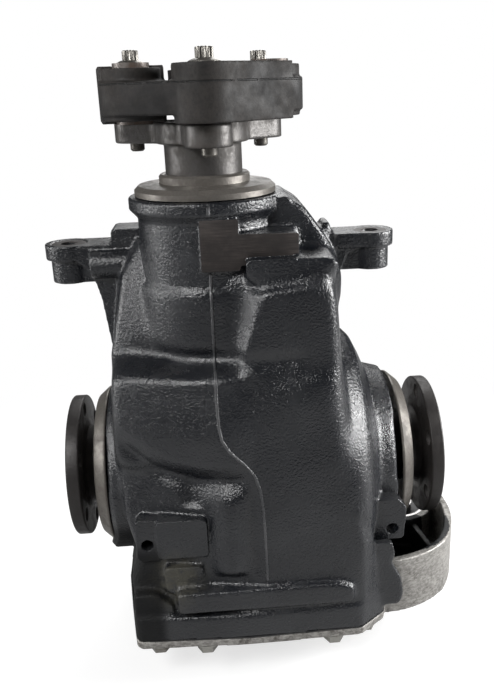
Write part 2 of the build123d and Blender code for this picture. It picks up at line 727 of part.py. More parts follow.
with BuildPart() as spider_gear_washers:
    for direction in (-1, 1):
        with BuildSketch(Plane(origin=(case_centre, hypoid_offset, output_height + direction * 20),
                               x_dir=(1, 0, 0), z_dir=(0, 0, direction))):
            Circle(spider_back_radius + 1.5)
            Circle(cross_pin_radius + 0.3, mode=Mode.SUBTRACT)
        extrude(amount=cavity_sphere)
    add(Solid.make_sphere(spider_sphere + running_gap + spider_washer,
                          Plane(origin=(case_centre, hypoid_offset, output_height))), mode=Mode.INTERSECT)
    add(Solid.make_sphere(spider_sphere + running_gap,
                          Plane(origin=(case_centre, hypoid_offset, output_height))), mode=Mode.SUBTRACT)
write(spider_gear_washers.part, "spider_gear_washers")

# Case bearings, with their large ends towards the middle so that the outer races seat outwards
left_cup, left_cone, left_rollers = taper_bearing(
    (left_end, hypoid_offset, output_height), (0, 0, 1), (1, 0, 0),
    journal_radius + seat_gap, case_bearing_radius, case_bearing_width, 15)
right_cup, right_cone, right_rollers = taper_bearing(
    (right_end, hypoid_offset, output_height), (0, 0, 1), (-1, 0, 0),
    journal_radius + seat_gap, case_bearing_radius, case_bearing_width, 15)
write(left_cup, "left_case_bearing_cup")
write(left_cone, "left_case_bearing_cone")
write(left_rollers, "left_case_bearing_rollers")
write(right_cup, "right_case_bearing_cup")
write(right_cone, "right_case_bearing_cone")
write(right_rollers, "right_case_bearing_rollers")


def collar(direction, start, thickness, inner, outer):
    """Plain ring on the output axis, from start outwards."""
    return turned_on_output("ring", [(direction * start, inner), (direction * start, outer),
                            (direction * (start + thickness), outer), (direction * (start + thickness), inner)])


# Preload shims and circlips that hold the outer races of the case bearings from outside
left_cup_face = -left_end - cup_inset
right_cup_face = right_end - cup_inset
for side, direction, end in (("left", -1, left_cup_face), ("right", 1, right_cup_face)):
    write(collar(direction, end, shim_thickness, case_bearing_radius - 8, case_bearing_radius - seat_gap),
          side + "_preload_shim")
    with BuildPart() as circlip:
        add(collar(direction, end + shim_thickness, circlip_thickness, case_bearing_radius - 3.5,
                   case_bearing_radius + circlip_groove_depth - 0.3))
        with BuildSketch(across(0)):
            with Locations((0, -case_bearing_radius)):
                Rectangle(12, 16)
        extrude(amount=2 * right_wall_reach, both=True, mode=Mode.SUBTRACT)
    write(circlip.part, side + "_bearing_circlip")

# Output seals: pressed into the boss, lip on the flange's journal
for side, direction, wall in (("left", -1, left_wall_reach), ("right", 1, right_wall_reach)):
    outer = case_bearing_radius - seat_gap
    lip = output_journal_radius + open_gap
    face = wall - 1.0
    rear = face - output_seal_width
    write(turned_on_output("seal", [
        (direction * face, outer), (direction * rear, outer), (direction * rear, outer - 3),
        (direction * (face - 3), outer - 3), (direction * (face - 3), lip + 4),
        (direction * (rear + 1), lip + 4), (direction * (rear + 1), lip + 2), (direction * (face - 4), lip),
        (direction * (face - 1), lip + 1), (direction * face, lip + 3)]), side + "_output_seal")


def snap_groove(direction):
    """Distance along the output axis at which the groove of a stub's snap ring starts."""
    return case_centre * direction + spider_pitch_radius * inner_share - snap_ring_width - 0.3


def output_flange(direction, reach, case_end, wall):
    """Output flange with its journal, splined stub, snap ring groove and bolt circle."""
    inner_end = direction * (snap_groove(direction) - 2)
    with BuildPart() as flange:
        add(turned_on_output("shaft", [
            (inner_end, 0), (inner_end, stub_radius), (direction * (case_end + 1.5), stub_radius),
            (direction * (case_end + 3.5), output_journal_radius),
            (direction * (wall + 0.6), output_journal_radius), (direction * (wall + 0.6), output_hub_radius),
            (direction * (reach - 6), output_hub_radius), (direction * reach, output_hub_radius + 8),
            (direction * reach, output_flange_radius - 1), (direction * (reach + 1), output_flange_radius),
            (direction * (reach + output_flange_thickness - 1), output_flange_radius),
            (direction * (reach + output_flange_thickness), output_flange_radius - 1),
            (direction * (reach + output_flange_thickness), output_pilot_radius),
            (direction * (reach + output_flange_thickness - output_pilot_depth), output_pilot_radius - 1.5),
            (direction * (reach + output_flange_thickness - output_pilot_depth), 0)]))
        with BuildSketch(across(direction * reach)):
            with PolarLocations(output_bolt_circle, 6, start_angle=output_hole_turn):
                Circle(output_hole_radius)
        extrude(amount=direction * output_flange_thickness, mode=Mode.SUBTRACT)
        add(collar(direction, snap_groove(direction), snap_ring_width, stub_radius - snap_ring_depth,
                   stub_radius + 1), mode=Mode.SUBTRACT)
    return flange.part


write(output_flange(-1, left_flange_reach, -left_end, left_wall_reach), "left_output_flange")
write(output_flange(1, right_flange_reach, right_end, right_wall_reach), "right_output_flange")

# Snap rings that hold the stubs in the side gears
for side, direction in (("left", -1), ("right", 1)):
    with BuildPart() as snap_ring:
        add(collar(direction, snap_groove(direction) + running_gap, snap_ring_width - 2 * running_gap,
                   stub_radius - snap_ring_depth + seat_gap, stub_radius + 1.6))
        with BuildSketch(across(0)):
            with Locations((0, -stub_radius)):
                Rectangle(4, 10)
        extrude(amount=left_wall_reach, both=True, mode=Mode.SUBTRACT)
    write(snap_ring.part, side + "_snap_ring")

# Dust shields pressed on the flanges' hubs, dished over the ends of the bosses
for side, direction, start in (("left", -1, left_wall_reach + left_shield_gap),
                               ("right", 1, right_wall_reach + right_shield_gap)):
    end = start + shield_width
    write(turned_on_output("shield", [
        (direction * start, shield_rim_radius), (direction * (start + 1.5), shield_rim_radius + 0.4),
        (direction * end, shield_neck_radius), (direction * (end + 0.8), shield_neck_radius - 3),
        (direction * (end + 0.8), output_hub_radius + seat_gap),
        (direction * (end - 1.6), output_hub_radius + seat_gap),
        (direction * (end - 1.6), shield_neck_radius - 4), (direction * start, shield_rim_radius - 2)]),
        side + "_dust_shield")

# Outline values shared by the housing, the gasket and the cover
front_y = hypoid_offset - ring_radius - ring_room - drum_wall
back_y = hypoid_offset + ring_radius + ring_room + drum_wall
left_x = 4 - left_wall_reach
right_x = right_wall_reach - 19
flange_front = front_y - 4
flange_back = back_y + 6
flange_left = 10 - left_wall_reach
flange_right = right_wall_reach - 7
ring_chamber_left = ring_low_x - 8
ring_chamber_right = case_flange_back + ring_bolt_head + 1.5
case_chamber_left = left_wall_in - case_wall - 6
drum_end = right_wall_reach - 16
flange_outline = [
    (flange_left + 12, flange_front + 4), (14, flange_front), (flange_right - 28, flange_front + 2),
    (flange_right - 8, flange_front + 18), (flange_right, flange_front + 49), (flange_right, flange_back - 46),
    (92, flange_back), (-6, flange_back), (flange_left, flange_back - 49), (flange_left + 4, flange_front + 59),
    (flange_left + 9, flange_front + 22)]
opening_outline = [
    (case_chamber_left, hypoid_offset - case_radius - case_room),
    (ring_chamber_left, hypoid_offset - case_radius - case_room), (ring_chamber_left, front_y + drum_wall + 2),
    (ring_chamber_right, front_y + drum_wall + 2), (ring_chamber_right, back_y - drum_wall - 2),
    (ring_chamber_left, back_y - drum_wall - 2), (ring_chamber_left, hypoid_offset + case_radius + case_room),
    (case_chamber_left, hypoid_offset + case_radius + case_room)]
cover_bolt_spots = [
    (flange_left + 22, flange_front + 14), (-17, flange_front + 10), (ring_chamber_right + 9, flange_front + 10),
    (flange_right - 22, flange_front + 21), (flange_right - 11, hypoid_offset - 30),
    (flange_right - 11, hypoid_offset + 35), (flange_right - 13, flange_back - 48),
    (ring_chamber_right + 9, flange_back - 10), (ring_chamber_left - 8, flange_back - 10),
    (flange_left + 37, flange_back - 35), (flange_left + 11, hypoid_offset + 30),
    (flange_left + 15, hypoid_offset - 36)]
flange_corner = 7.0
opening_corner = 6.5
cover_top = joint_z - gasket_thickness
plate_bottom = cover_top - cover_flange_thickness


def closed(points, radius):
    """Flat face inside a polygon whose corners are rounded."""
    with BuildSketch() as outline:
        with BuildLine():
            Polyline(*points, close=True)
        make_face()
        fillet(outline.vertices(), radius=radius)
    return outline.sketch


def front_block(points, near, far, radius):
    """Block whose outline of x and height above the output axis runs from y = near back to y = far."""
    with BuildPart() as block:
        with BuildSketch(Plane(origin=(0, near, output_height), x_dir=(1, 0, 0), z_dir=(0, -1, 0))) as outline:
            with BuildLine():
                Polyline(*points, close=True)
            make_face()
            fillet(outline.vertices(), radius=radius)
        extrude(amount=near - far)
    return block.part


# Level sections of the casting, each from the front left corner round to the back left one
body_levels = [
    (-joint_drop, [(left_x + 19, front_y + 7), (29, front_y - 1), (right_x - 14, front_y),
                   (right_x, front_y + 12), (right_x + 4, hypoid_offset + 50), (80, back_y), (5, back_y),
                   (left_x + 11, hypoid_offset + 50)]),
    (-28, [(left_x + 15, front_y + 19), (29, front_y), (right_x - 14, front_y + 1), (right_x - 5, front_y + 10),
           (right_x, hypoid_offset + 44), (79, back_y), (6, back_y), (left_x + 7, hypoid_offset + 46)]),
    (-8, [(left_x + 9, front_y + 26), (29, front_y), (right_x - 18, front_y + 1), (right_x - 8, front_y + 11),
          (right_x, hypoid_offset + 40), (78, back_y), (6, back_y), (left_x, hypoid_offset + 45)]),
    (28, [(left_x + 6, front_y + 36), (25, front_y + 2), (right_x - 24, front_y + 3), (right_x - 15, front_y + 12),
          (right_x - 2, hypoid_offset + 40), (76, back_y - 4), (6, back_y - 4), (left_x, hypoid_offset + 42)]),
    (37, [(left_x + 5, front_y + 28), (18, front_y + 3), (right_x - 26, front_y + 3), (right_x - 17, front_y + 12),
          (right_x - 4, hypoid_offset + 38), (76, back_y - 6), (6, back_y - 6), (left_x, hypoid_offset + 40)]),
    (62, [(left_x + 5, front_y + 29), (2, front_y + 6), (right_x - 32, front_y + 5), (right_x - 23, front_y + 13),
          (right_x - 8, hypoid_offset + 30), (72, back_y - 16), (4, back_y - 16), (left_x + 1, hypoid_offset + 32)]),
    (97, [(left_x + 7, front_y + 35), (0, front_y + 14), (right_x - 34, front_y + 8), (right_x - 26.5, front_y + 17),
          (right_x - 14, hypoid_offset + 15), (60, hypoid_offset + 55), (-5, hypoid_offset + 55),
          (left_x + 3, hypoid_offset + 20)]),
    (108, [(left_x + 6, front_y + 58), (0, front_y + 25), (right_x - 34.5, front_y + 11),
           (right_x - 27, front_y + 19), (right_x - 16, hypoid_offset + 12), (55, hypoid_offset + 45),
           (-10, hypoid_offset + 45), (left_x + 3, hypoid_offset + 16)]),
    (163, [(-62, front_y + 69), (0, front_y + 29), (right_x - 37, front_y + 18), (right_x - 29.5, front_y + 27),
           (right_x - 20, hypoid_offset + 6), (45, hypoid_offset + 24), (-30, hypoid_offset + 22),
           (-74, hypoid_offset + 12)]),
    (186, [(-48, front_y + 71), (0, front_y + 33), (52, front_y + 45), (72, front_y + 55),
           (right_x - 32, hypoid_offset - 4), (35, hypoid_offset + 16), (-28, hypoid_offset + 16),
           (-56, hypoid_offset + 6)])]

# Raised panel over the ring gear: its face, and its root with the wide slope on the left
panel_face = [(34, 160), (75, 165), (82, 160), (right_x - 29, 125), (right_x - 28, 98), (right_x - 28, 76),
              (30, 70), (21, 108), (22, 120)]
panel_root = [(20, 161), (75, 168), (83, 162), (right_x - 29, 125), (right_x - 28, 98), (right_x - 28, 76),
              (22, 68), (10, 106), (10, 118)]

with BuildPart() as housing:
    # Main casting
    for height, corners in body_levels:
        with BuildSketch(above(height)):
            add(closed(corners, 8))
    loft(ruled=True)
    # Nose, with its lip and the bulge round the inner bearing
    add(turned_on_pinion("nose", [
        (0, bulge_low - 31), (nose_radius + 2, bulge_low - 31), (nose_radius, bulge_low - 8),
        (bulge_radius, bulge_low), (bulge_radius, bulge_high), (nose_radius, bulge_high + 5),
        (nose_radius, nose_reach - nose_lip_height - 6), (nose_lip_radius, nose_reach - nose_lip_height),
        (nose_lip_radius, nose_reach - 1), (nose_lip_radius - 1, nose_reach), (0, nose_reach)]))
    # Bosses of the output bearings
    add(turned_on_output("left_boss", [
        (0, 0), (0, left_boss_radius + 4), (left_x, left_boss_radius + 4), (-left_wall_reach, left_boss_radius),
        (-left_wall_reach, 0)]))
    add(turned_on_output("right_boss", [
        (60, 0), (60, right_boss_root_radius + 12), (right_x - 14, right_boss_root_radius + 4),
        (right_x + 4, right_boss_root_radius), (right_wall_reach, right_boss_radius), (right_wall_reach, 0)]))
    # Drum over the ring gear
    add(turned_on_output("drum", [
        (30, 0), (30, drum_radius), (drum_end - 21, drum_radius), (drum_end - 15, drum_radius - 3),
        (drum_end - 10, drum_radius - 8), (drum_end - 5, drum_radius - 18), (drum_end, right_boss_root_radius + 3),
        (drum_end, 0)]))
    # Cover flange
    with BuildSketch(Plane.XY.offset(joint_z)):
        add(closed(flange_outline, flange_corner))
    extrude(amount=flange_height)
    # Wings from the nose out to the ears, and the round boss below the left ear
    add(front_block([(-60, 96), (left_x + 4, 100), (left_x + 2, 116), (left_x - 1, 142), (left_x - 4, 154),
                     (-90, 166), (-96, ear_height - 12), (-96, ear_height), (-70, ear_height),
                     (-70, ear_height + 11), (-40, ear_height + 11), (-30, 150)],
                    ear_depth - 16, ear_depth + 12, 2.5))
    add(front_block([(30, nose_reach - 28), (30, nose_reach - 4), (54, nose_reach - 1), (66, nose_reach - 8),
                     (74, nose_reach - 19), (84, 184), (91, 169), (93, 158), (92, 140), (60, 130)],
                    -26, ear_depth + 8, 2.5))
    add(front_block([(84, 110), (84, ear_height + 10), (91, ear_height + 10), (91, ear_height), (112, ear_height),
                     (112, ear_height - 11), (103, 168), (97, 152), (95, 130), (96, 110)], ear_depth - 14,
                    ear_depth + 12, 2))
    with BuildSketch(across(left_x - 6)):
        with Locations((-16, 168)):
            Circle(10)
    extrude(amount=30)
    # Raised panel, the ridge above it and the machined pads
    with BuildPart(mode=Mode.PRIVATE) as panel:
        for depth, corners in ((front_y + 12, panel_face), (front_y + 29, panel_root)):
            with BuildSketch(Plane(origin=(0, depth, output_height), x_dir=(1, 0, 0), z_dir=(0, -1, 0))):
                add(closed(corners, 3))
        loft(ruled=True)
    add(panel.part)
    add(front_block([(24, 167), (24, 181), (79, 181), (85, 178), (87, 171), (83, 165.5), (75, 167), (34, 161.5)],
                    front_y + 18, front_y + 50, 2.5))
    add(front_block([(-5, 173), (-5, 207), (20, 207), (20, 197), (59, 196.5), (59, 180), (20, 180), (20, 173)],
                    -nose_radius - 3, -nose_radius + 30, 1.5))
    # Ledge above the cover flange
    add(front_block([(-36, -54), (-36, -71), (92, -71), (92, -58), (80, -54)], front_y - 5, front_y + 25, 2))
    # Left foot, left lug and the blocks beside it
    add(front_block([(-62, -58), (-62, flange_height - joint_drop - 1), (-40, flange_height - joint_drop - 1),
                     (-40, -68), (-50, -58)], front_y + 3, front_y + 40, 1.5))
    add(front_block([(-63, -2), (-63, -35), (-46, -35), (-46, -2)], front_y + 12, front_y + 12 + lug_thickness, 3))
    add(front_block([(-48, -1), (-48, -31), (-12, -31), (-12, -1)], front_y + 7, front_y + 40, 3))
    add(front_block([(-44, -38), (-44, -60), (-16, -60), (-16, -38)], front_y + 5, front_y + 40, 3))
    # Right lug and the foot below it
    add(front_block([(96, -2), (96, -42), (119, -38), (134, -37), (136, -12), (130, -4)],
                    front_y + 22, front_y + 22 + lug_thickness, 3))
    add(front_block([(104, -34), (123, -34), (126, -46), (123.5, -52), (131, -66), (133, -80), (130, -89),
                     (104, -89)], front_y + 12, front_y + 17.5, 2))
    # Ears for the front mounting bolts
    for reach, direction in ((left_ear_reach, -1), (right_ear_reach, 1)):
        spot = (direction * reach, ear_depth)
        with BuildSketch(above(ear_height)) as ear:
            with Locations(spot):
                Circle(ear_radius)
            with Locations((direction * (reach - 16), ear_depth)):
                Rectangle(32, 2 * ear_radius - 3)
        extrude(amount=-ear_thickness)
        with BuildSketch(above(ear_height - ear_thickness)):
            with Locations(spot):
                Circle(ear_boss_radius)
            with Locations((direction * (reach - 12), ear_depth)):
                Rectangle(24, 2 * ear_boss_radius - 8)
        extrude(amount=-ear_boss_height)
    # Joint face of the cover
    with BuildSketch(Plane.XY.offset(joint_z)):
        Rectangle(4 * right_wall_reach, 4 * right_wall_reach)
    extrude(amount=-joint_z, mode=Mode.SUBTRACT)
    # Chambers of the ring gear and the differential case, open to the cover
    add(turned_on_output("ring_chamber", [
        (ring_chamber_left, 0), (ring_chamber_left, ring_radius + ring_room),
        (ring_chamber_right, ring_radius + ring_room), (ring_chamber_right + 1, joint_drop - 3),
        (drum_end - 26, joint_drop - 3), (drum_end - 17, drum_radius - 18), (drum_end - 11, right_boss_radius),
        (drum_end - 12, case_radius + 5), (ring_chamber_right + 6, case_radius + 2),
        (right_seat - 1, case_bearing_radius - 4), (right_seat - 1, 0)]), mode=Mode.SUBTRACT)
    add(turned_on_output("case_chamber", [
        (case_chamber_left, 0), (case_chamber_left, case_radius + case_room - 6),
        (case_chamber_left + 6, case_radius + case_room), (ring_chamber_left + 1, case_radius + case_room),
        (ring_chamber_left + 1, 0)]), mode=Mode.SUBTRACT)
    with BuildSketch(Plane.XY.offset(joint_z)):
        add(closed(opening_outline, opening_corner))
    extrude(amount=joint_drop, mode=Mode.SUBTRACT)
    # Bores of the output bearings, with circlip grooves
    for direction, start, cup_face, wall in ((-1, -case_chamber_left - 1, left_cup_face, left_wall_reach),
                                             (1, right_seat - 2, right_cup_face, right_wall_reach)):
        shoulder = cup_face + cup_inset - case_bearing_width * cup_share
        groove = cup_face + shim_thickness
        groove_end = groove + circlip_thickness + 0.1
        add(turned_on_output("bore", [
            (direction * start, 0), (direction * start, case_bearing_radius - 4),
            (direction * shoulder, case_bearing_radius - 4), (direction * shoulder, case_bearing_radius),
            (direction * groove, case_bearing_radius),
            (direction * groove, case_bearing_radius + circlip_groove_depth),
            (direction * groove_end, case_bearing_radius + circlip_groove_depth),
            (direction * groove_end, case_bearing_radius), (direction * (wall + 1), case_bearing_radius),
            (direction * (wall + 1), 0)]), mode=Mode.SUBTRACT)
    # Bores of the nose: pinion head, two bearings and the seal
    add(turned_on_pinion("nose_bore", [
        (0, mesh_low - 8), (36, mesh_low - 8), (ratio_slope * mesh_high + 9, head_seat - 3),
        (ratio_slope * mesh_high + 9, head_seat), (head_bearing_radius + seat_gap, head_seat),
        (head_bearing_radius + seat_gap, head_seat + head_bearing_width - 1.5),
        (head_bearing_radius - 5, head_seat + head_bearing_width - 1.5),
        (head_bearing_radius - 5, head_seat + head_bearing_width + 6),
        (tail_bearing_radius - 5, head_seat + head_bearing_width + 12), (tail_bearing_radius - 5, tail_seat + 1.5),
        (tail_bearing_radius + seat_gap, tail_seat + 1.5), (tail_bearing_radius + seat_gap, seal_low - 1),
        (pinion_seal_radius, seal_low - 1), (pinion_seal_radius, nose_reach + 1), (0, nose_reach + 1)]),
        mode=Mode.SUBTRACT)
    # Ear holes and spot faces
    for reach, direction in ((left_ear_reach, -1), (right_ear_reach, 1)):
        with BuildSketch(above(ear_height + 0.01)):
            with Locations((direction * reach, ear_depth)):
                Circle(ear_spot_radius)
        extrude(amount=-ear_spot_depth, mode=Mode.SUBTRACT)
        with BuildSketch(above(ear_height + 1)):
            with Locations((direction * reach, ear_depth)):
                Circle(ear_hole_radius)
        extrude(amount=-ear_thickness - ear_boss_height - 2, mode=Mode.SUBTRACT)
    # Lug holes
    for spot in ((-55.4, -22), (125, -28.5)):
        with BuildSketch(Plane(origin=(0, front_y, output_height), x_dir=(1, 0, 0), z_dir=(0, -1, 0))):
            with Locations(spot):
                Circle(lug_hole_radius)
        extrude(amount=-45, mode=Mode.SUBTRACT)
    # Threaded holes for the cover bolts
    with BuildSketch(Plane.XY.offset(joint_z)):
        with Locations(*cover_bolt_spots):
            Circle(cover_bolt_radius + seat_gap)
    extrude(amount=cover_bolt_length - cover_flange_thickness - gasket_thickness + 2, mode=Mode.SUBTRACT)
    # Breather hole in the upper wall
    with BuildSketch(Plane(origin=(40, back_y + 1, output_height - 20), x_dir=(1, 0, 0), z_dir=(0, 1, 0))):
        Circle(4 + seat_gap)
    extrude(amount=-drum_wall - 6, mode=Mode.SUBTRACT)
write(housing.part, "housing")

# Breather cap on the upper wall
with BuildPart() as breather:
    with BuildSketch(Plane(origin=(40, back_y - 6, output_height - 20), x_dir=(1, 0, 0), z_dir=(0, 1, 0))):
        Circle(4)
        Circle(1.5, mode=Mode.SUBTRACT)
    extrude(amount=9)
    with BuildSketch(Plane(origin=(40, back_y, output_height - 20), x_dir=(1, 0, 0), z_dir=(0, 1, 0))):
        Circle(8)
    extrude(amount=3)
    with BuildSketch(Plane(origin=(40, back_y + 3, output_height - 20), x_dir=(1, 0, 0), z_dir=(0, 1, 0))):
        Circle(7)
    extrude(amount=7)
    fillet(breather.faces().sort_by(Axis.Y)[-1].edges(), radius=2)
write(breather.part, "breather")

# Gasket of the cover
with BuildPart() as cover_gasket:
    with BuildSketch(Plane.XY.offset(cover_top)):
        add(closed(flange_outline, flange_corner))
        add(closed(opening_outline, opening_corner), mode=Mode.SUBTRACT)
        with Locations(*cover_bolt_spots):
            Circle(cover_bolt_radius + open_gap, mode=Mode.SUBTRACT)
    extrude(amount=gasket_thickness)
write(cover_gasket.part, "cover_gasket")

# Rear cover: flange, hollow dome with cooling ribs, and a ribbed lobe with the mounting eye
def dome_outline(inset):
    """Corners of the dome, drawn in by an inset."""
    return [(flange_left + 26 + inset, flange_front + 44 + inset / 2), (flange_left + 40 + inset,
            flange_front + 25 + inset), (92 - inset, flange_front + 25 + inset),
            (flange_right - 24 - inset, flange_front + 44 + inset / 2), (flange_right - 24 - inset,
            flange_back - 41 - inset / 2), (88 - inset, flange_back - 25 - inset),
            (-4 + inset, flange_back - 25 - inset), (flange_left + 24 + inset, flange_back - 56 - inset / 2)]


# Lobe: middle line of its outer wall, and the ribs inside it
lobe_start = (flange_right - 12, -52)
lobe_bend = (149, -45.5)
lobe_corner = (170.5, -30)
lobe_side = (182.5, -7)
lobe_end = (185.5, eye_y - 6)
lobe_ribs = [((flange_right - 12, -27), (168, -34)), ((163, 27), (170.5, -22)),
             ((flange_right - 12, 14), (140, 34))]

with BuildPart() as rear_cover:
    with BuildSketch(Plane.XY.offset(plate_bottom)):
        add(closed(flange_outline, flange_corner))
        with BuildLine():
            ThreePointArc(lobe_start, lobe_bend, lobe_corner)
            ThreePointArc(lobe_corner, lobe_side, lobe_end)
            Line(lobe_end, (eye_x, eye_y + eye_radius - 2))
            Line((eye_x, eye_y + eye_radius - 2), (flange_right - 12, flange_back - 60))
            Line((flange_right - 12, flange_back - 60), lobe_start)
        make_face()
    extrude(amount=lobe_floor)
    with BuildSketch(Plane.XY.offset(plate_bottom)):
        add(closed(flange_outline, flange_corner))
    extrude(amount=cover_flange_thickness)
    with BuildSketch(Plane.XY.offset(plate_bottom)):
        add(closed(dome_outline(0), 8))
    with BuildSketch(Plane.XY):
        add(closed(dome_outline(dome_lean), 8))
    loft(ruled=True)
    # Cooling ribs across the dome
    for index in range(4):
        with BuildSketch(Plane(origin=(-4 + 20 * index, 0, 0), x_dir=(0, 1, 0), z_dir=(1, 0, 0))):
            with BuildLine():
                Polyline((flange_front + 30, plate_bottom + 1), (flange_front + 30, plate_bottom - 6),
                         (flange_front + 25 + dome_lean - 6, 1), (flange_back - 31 - dome_lean + 12, 1),
                         (flange_back - 30, plate_bottom - 6), (flange_back - 30, plate_bottom + 1), close=True)
            make_face()
        extrude(amount=rib_thickness / 2, both=True)
    # Hollow of the dome and the opening of the flange
    with BuildSketch(Plane.XY.offset(plate_bottom + 0.5)):
        add(closed(dome_outline(cover_wall + 4), opening_corner))
    with BuildSketch(Plane.XY.offset(cover_wall)):
        add(closed(dome_outline(dome_lean + 4), opening_corner - 1))
    loft(ruled=True, mode=Mode.SUBTRACT)
    with BuildSketch(Plane.XY.offset(plate_bottom + 0.4)):
        add(closed(dome_outline(cover_wall + 4), opening_corner))
    extrude(amount=cover_flange_thickness, mode=Mode.SUBTRACT)
    # Lobe: floor, outer wall, eye and ribs, kept clear of the housing's flange
    with BuildSketch(Plane.XY.offset(plate_bottom)):
        with BuildLine():
            ThreePointArc(lobe_start, lobe_bend, lobe_corner)
            ThreePointArc(lobe_corner, lobe_side, lobe_end)
        trace(line_width=lobe_wall)
    extrude(amount=lobe_height)
    with BuildSketch(Plane.XY.offset(plate_bottom)):
        with Locations((eye_x, eye_y)):
            Circle(eye_radius)
    extrude(amount=eye_height)
    for start, end in lobe_ribs:
        with BuildSketch(Plane.XY.offset(plate_bottom)):
            with BuildLine():
                Line(start, end)
            trace(line_width=rib_thickness)
        extrude(amount=lobe_height - rib_drop)
    with BuildSketch(Plane.XY.offset(cover_top)):
        add(closed(flange_outline, flange_corner))
    extrude(amount=lobe_height, mode=Mode.SUBTRACT)
    with BuildSketch(Plane.XY.offset(plate_bottom)):
        with Locations((eye_x, eye_y)):
            Circle(bush_radius)
    extrude(amount=lobe_height, mode=Mode.SUBTRACT)
    # Bolt holes
    with BuildSketch(Plane.XY.offset(plate_bottom - 1)):
        with Locations(*cover_bolt_spots):
            Circle(cover_bolt_radius + open_gap)
    extrude(amount=cover_flange_thickness + 2, mode=Mode.SUBTRACT)
    # Sunk seats of the fill and drain plugs
    for spot in ((52, 62), (52, 4)):
        with BuildSketch(Plane.XY.offset(cover_wall - 0.5)):
            with Locations(spot):
                Circle(plug_head_radius + 6)
        extrude(amount=9)
        with BuildSketch(Plane.XY):
            with Locations(spot):
                Circle(plug_head_radius + 2)
        extrude(amount=5.5, mode=Mode.SUBTRACT)
        with BuildSketch(Plane.XY):
            with Locations(spot):
                Circle(plug_radius + seat_gap)
        extrude(amount=20, mode=Mode.SUBTRACT)
write(rear_cover.part, "rear_cover")

# Fill and drain plugs with hexagon sockets, and their sealing washers
for name, spot in (("fill_plug", (52, 62)), ("drain_plug", (52, 4))):
    with BuildPart() as plug:
        with BuildSketch(Plane.XY.offset(0.6)):
            with Locations(spot):
                Circle(plug_head_radius)
        extrude(amount=3.4)
        with BuildSketch(Plane.XY.offset(4)):
            with Locations(spot):
                Circle(plug_radius)
        extrude(amount=12)
        with BuildSketch(Plane.XY.offset(0.6)):
            with Locations(spot):
                RegularPolygon(5, 6, major_radius=False)
        extrude(amount=8, mode=Mode.SUBTRACT)
    write(plug.part, name)

with BuildPart() as plug_washers:
    with BuildSketch(Plane.XY.offset(4)):
        with Locations((52, 62), (52, 4)):
            Circle(plug_head_radius + 1)
            Circle(plug_radius + 0.2, mode=Mode.SUBTRACT)
    extrude(amount=1.5)
write(plug_washers.part, "plug_washers")

# Cover bolts from below
with BuildPart() as cover_bolts:
    for x, y in cover_bolt_spots:
        add(hexagon_bolt(Plane(origin=(x, y, plate_bottom), x_dir=(1, 0, 0), z_dir=(0, 0, -1)),
                         cover_bolt_radius, cover_bolt_length, cover_head_radius, cover_head_height,
                         cover_washer_radius))
write(cover_bolts.part, "cover_bolts")

# Rubber mounting bush in the cover's eye
with BuildPart() as mount_bush_shell:
    with BuildSketch(Plane.XY.offset(plate_bottom)):
        with Locations((eye_x, eye_y)):
            Circle(bush_radius - seat_gap)
            Circle(bush_radius - bush_sheet, mode=Mode.SUBTRACT)
    extrude(amount=eye_height)
write(mount_bush_shell.part, "mount_bush_shell")

with BuildPart() as mount_bush_rubber:
    with BuildSketch(Plane.XY.offset(plate_bottom + bush_stand)):
        with Locations((eye_x, eye_y)):
            Circle(bush_radius - bush_sheet)
            Circle(bush_sleeve_radius, mode=Mode.SUBTRACT)
    extrude(amount=eye_height - 2 * bush_stand)
write(mount_bush_rubber.part, "mount_bush_rubber")

with BuildPart() as mount_bush_sleeve:
    with BuildSketch(Plane.XY.offset(plate_bottom - bush_stand)):
        with Locations((eye_x, eye_y)):
            Circle(bush_sleeve_radius)
            Circle(bush_bore_radius, mode=Mode.SUBTRACT)
    extrude(amount=eye_height + 2 * bush_stand)
write(mount_bush_sleeve.part, "mount_bush_sleeve")
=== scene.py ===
"""Rear differential: its finishes and fine forms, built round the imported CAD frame."""

import json
import logging
import math
from dataclasses import dataclass, field
from enum import Enum
from typing import Callable, Sequence

import bmesh
import bpy
import numpy as np
from mathutils import Matrix, Vector
from mathutils.bvhtree import BVHTree


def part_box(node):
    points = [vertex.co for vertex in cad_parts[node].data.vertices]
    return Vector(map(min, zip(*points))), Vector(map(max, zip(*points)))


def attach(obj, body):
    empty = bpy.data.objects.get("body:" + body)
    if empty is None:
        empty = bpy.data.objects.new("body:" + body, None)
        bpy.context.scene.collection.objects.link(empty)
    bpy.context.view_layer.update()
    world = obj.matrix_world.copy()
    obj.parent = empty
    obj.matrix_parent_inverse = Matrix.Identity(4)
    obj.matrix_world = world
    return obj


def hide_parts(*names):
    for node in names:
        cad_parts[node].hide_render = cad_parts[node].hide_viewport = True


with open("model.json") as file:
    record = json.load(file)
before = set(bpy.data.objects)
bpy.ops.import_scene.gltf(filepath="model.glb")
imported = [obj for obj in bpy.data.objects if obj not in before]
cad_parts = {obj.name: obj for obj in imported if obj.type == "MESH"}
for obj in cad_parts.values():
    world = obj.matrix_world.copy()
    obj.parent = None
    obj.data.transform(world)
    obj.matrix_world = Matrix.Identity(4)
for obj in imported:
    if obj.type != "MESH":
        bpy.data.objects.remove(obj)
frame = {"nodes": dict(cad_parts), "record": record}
report = logging.getLogger("differential")
logging.basicConfig(level=logging.INFO, format="%(name)s: %(message)s")

MM = 0.001
OUTPUT_HEIGHT = 0.140
HYPOID_OFFSET = 0.030
Colour = tuple[float, float, float]
Outline = Sequence[tuple[float, float]]
Span = tuple[float, float]
SHARP_ANGLE = 35.0


class Body(Enum):
    """Bodies of the mechanism that the pieces ride on."""

    CARRIER = "carrier"
    INPUT = "input"
    LEFT_OUTPUT = "left_output"
    RIGHT_OUTPUT = "right_output"


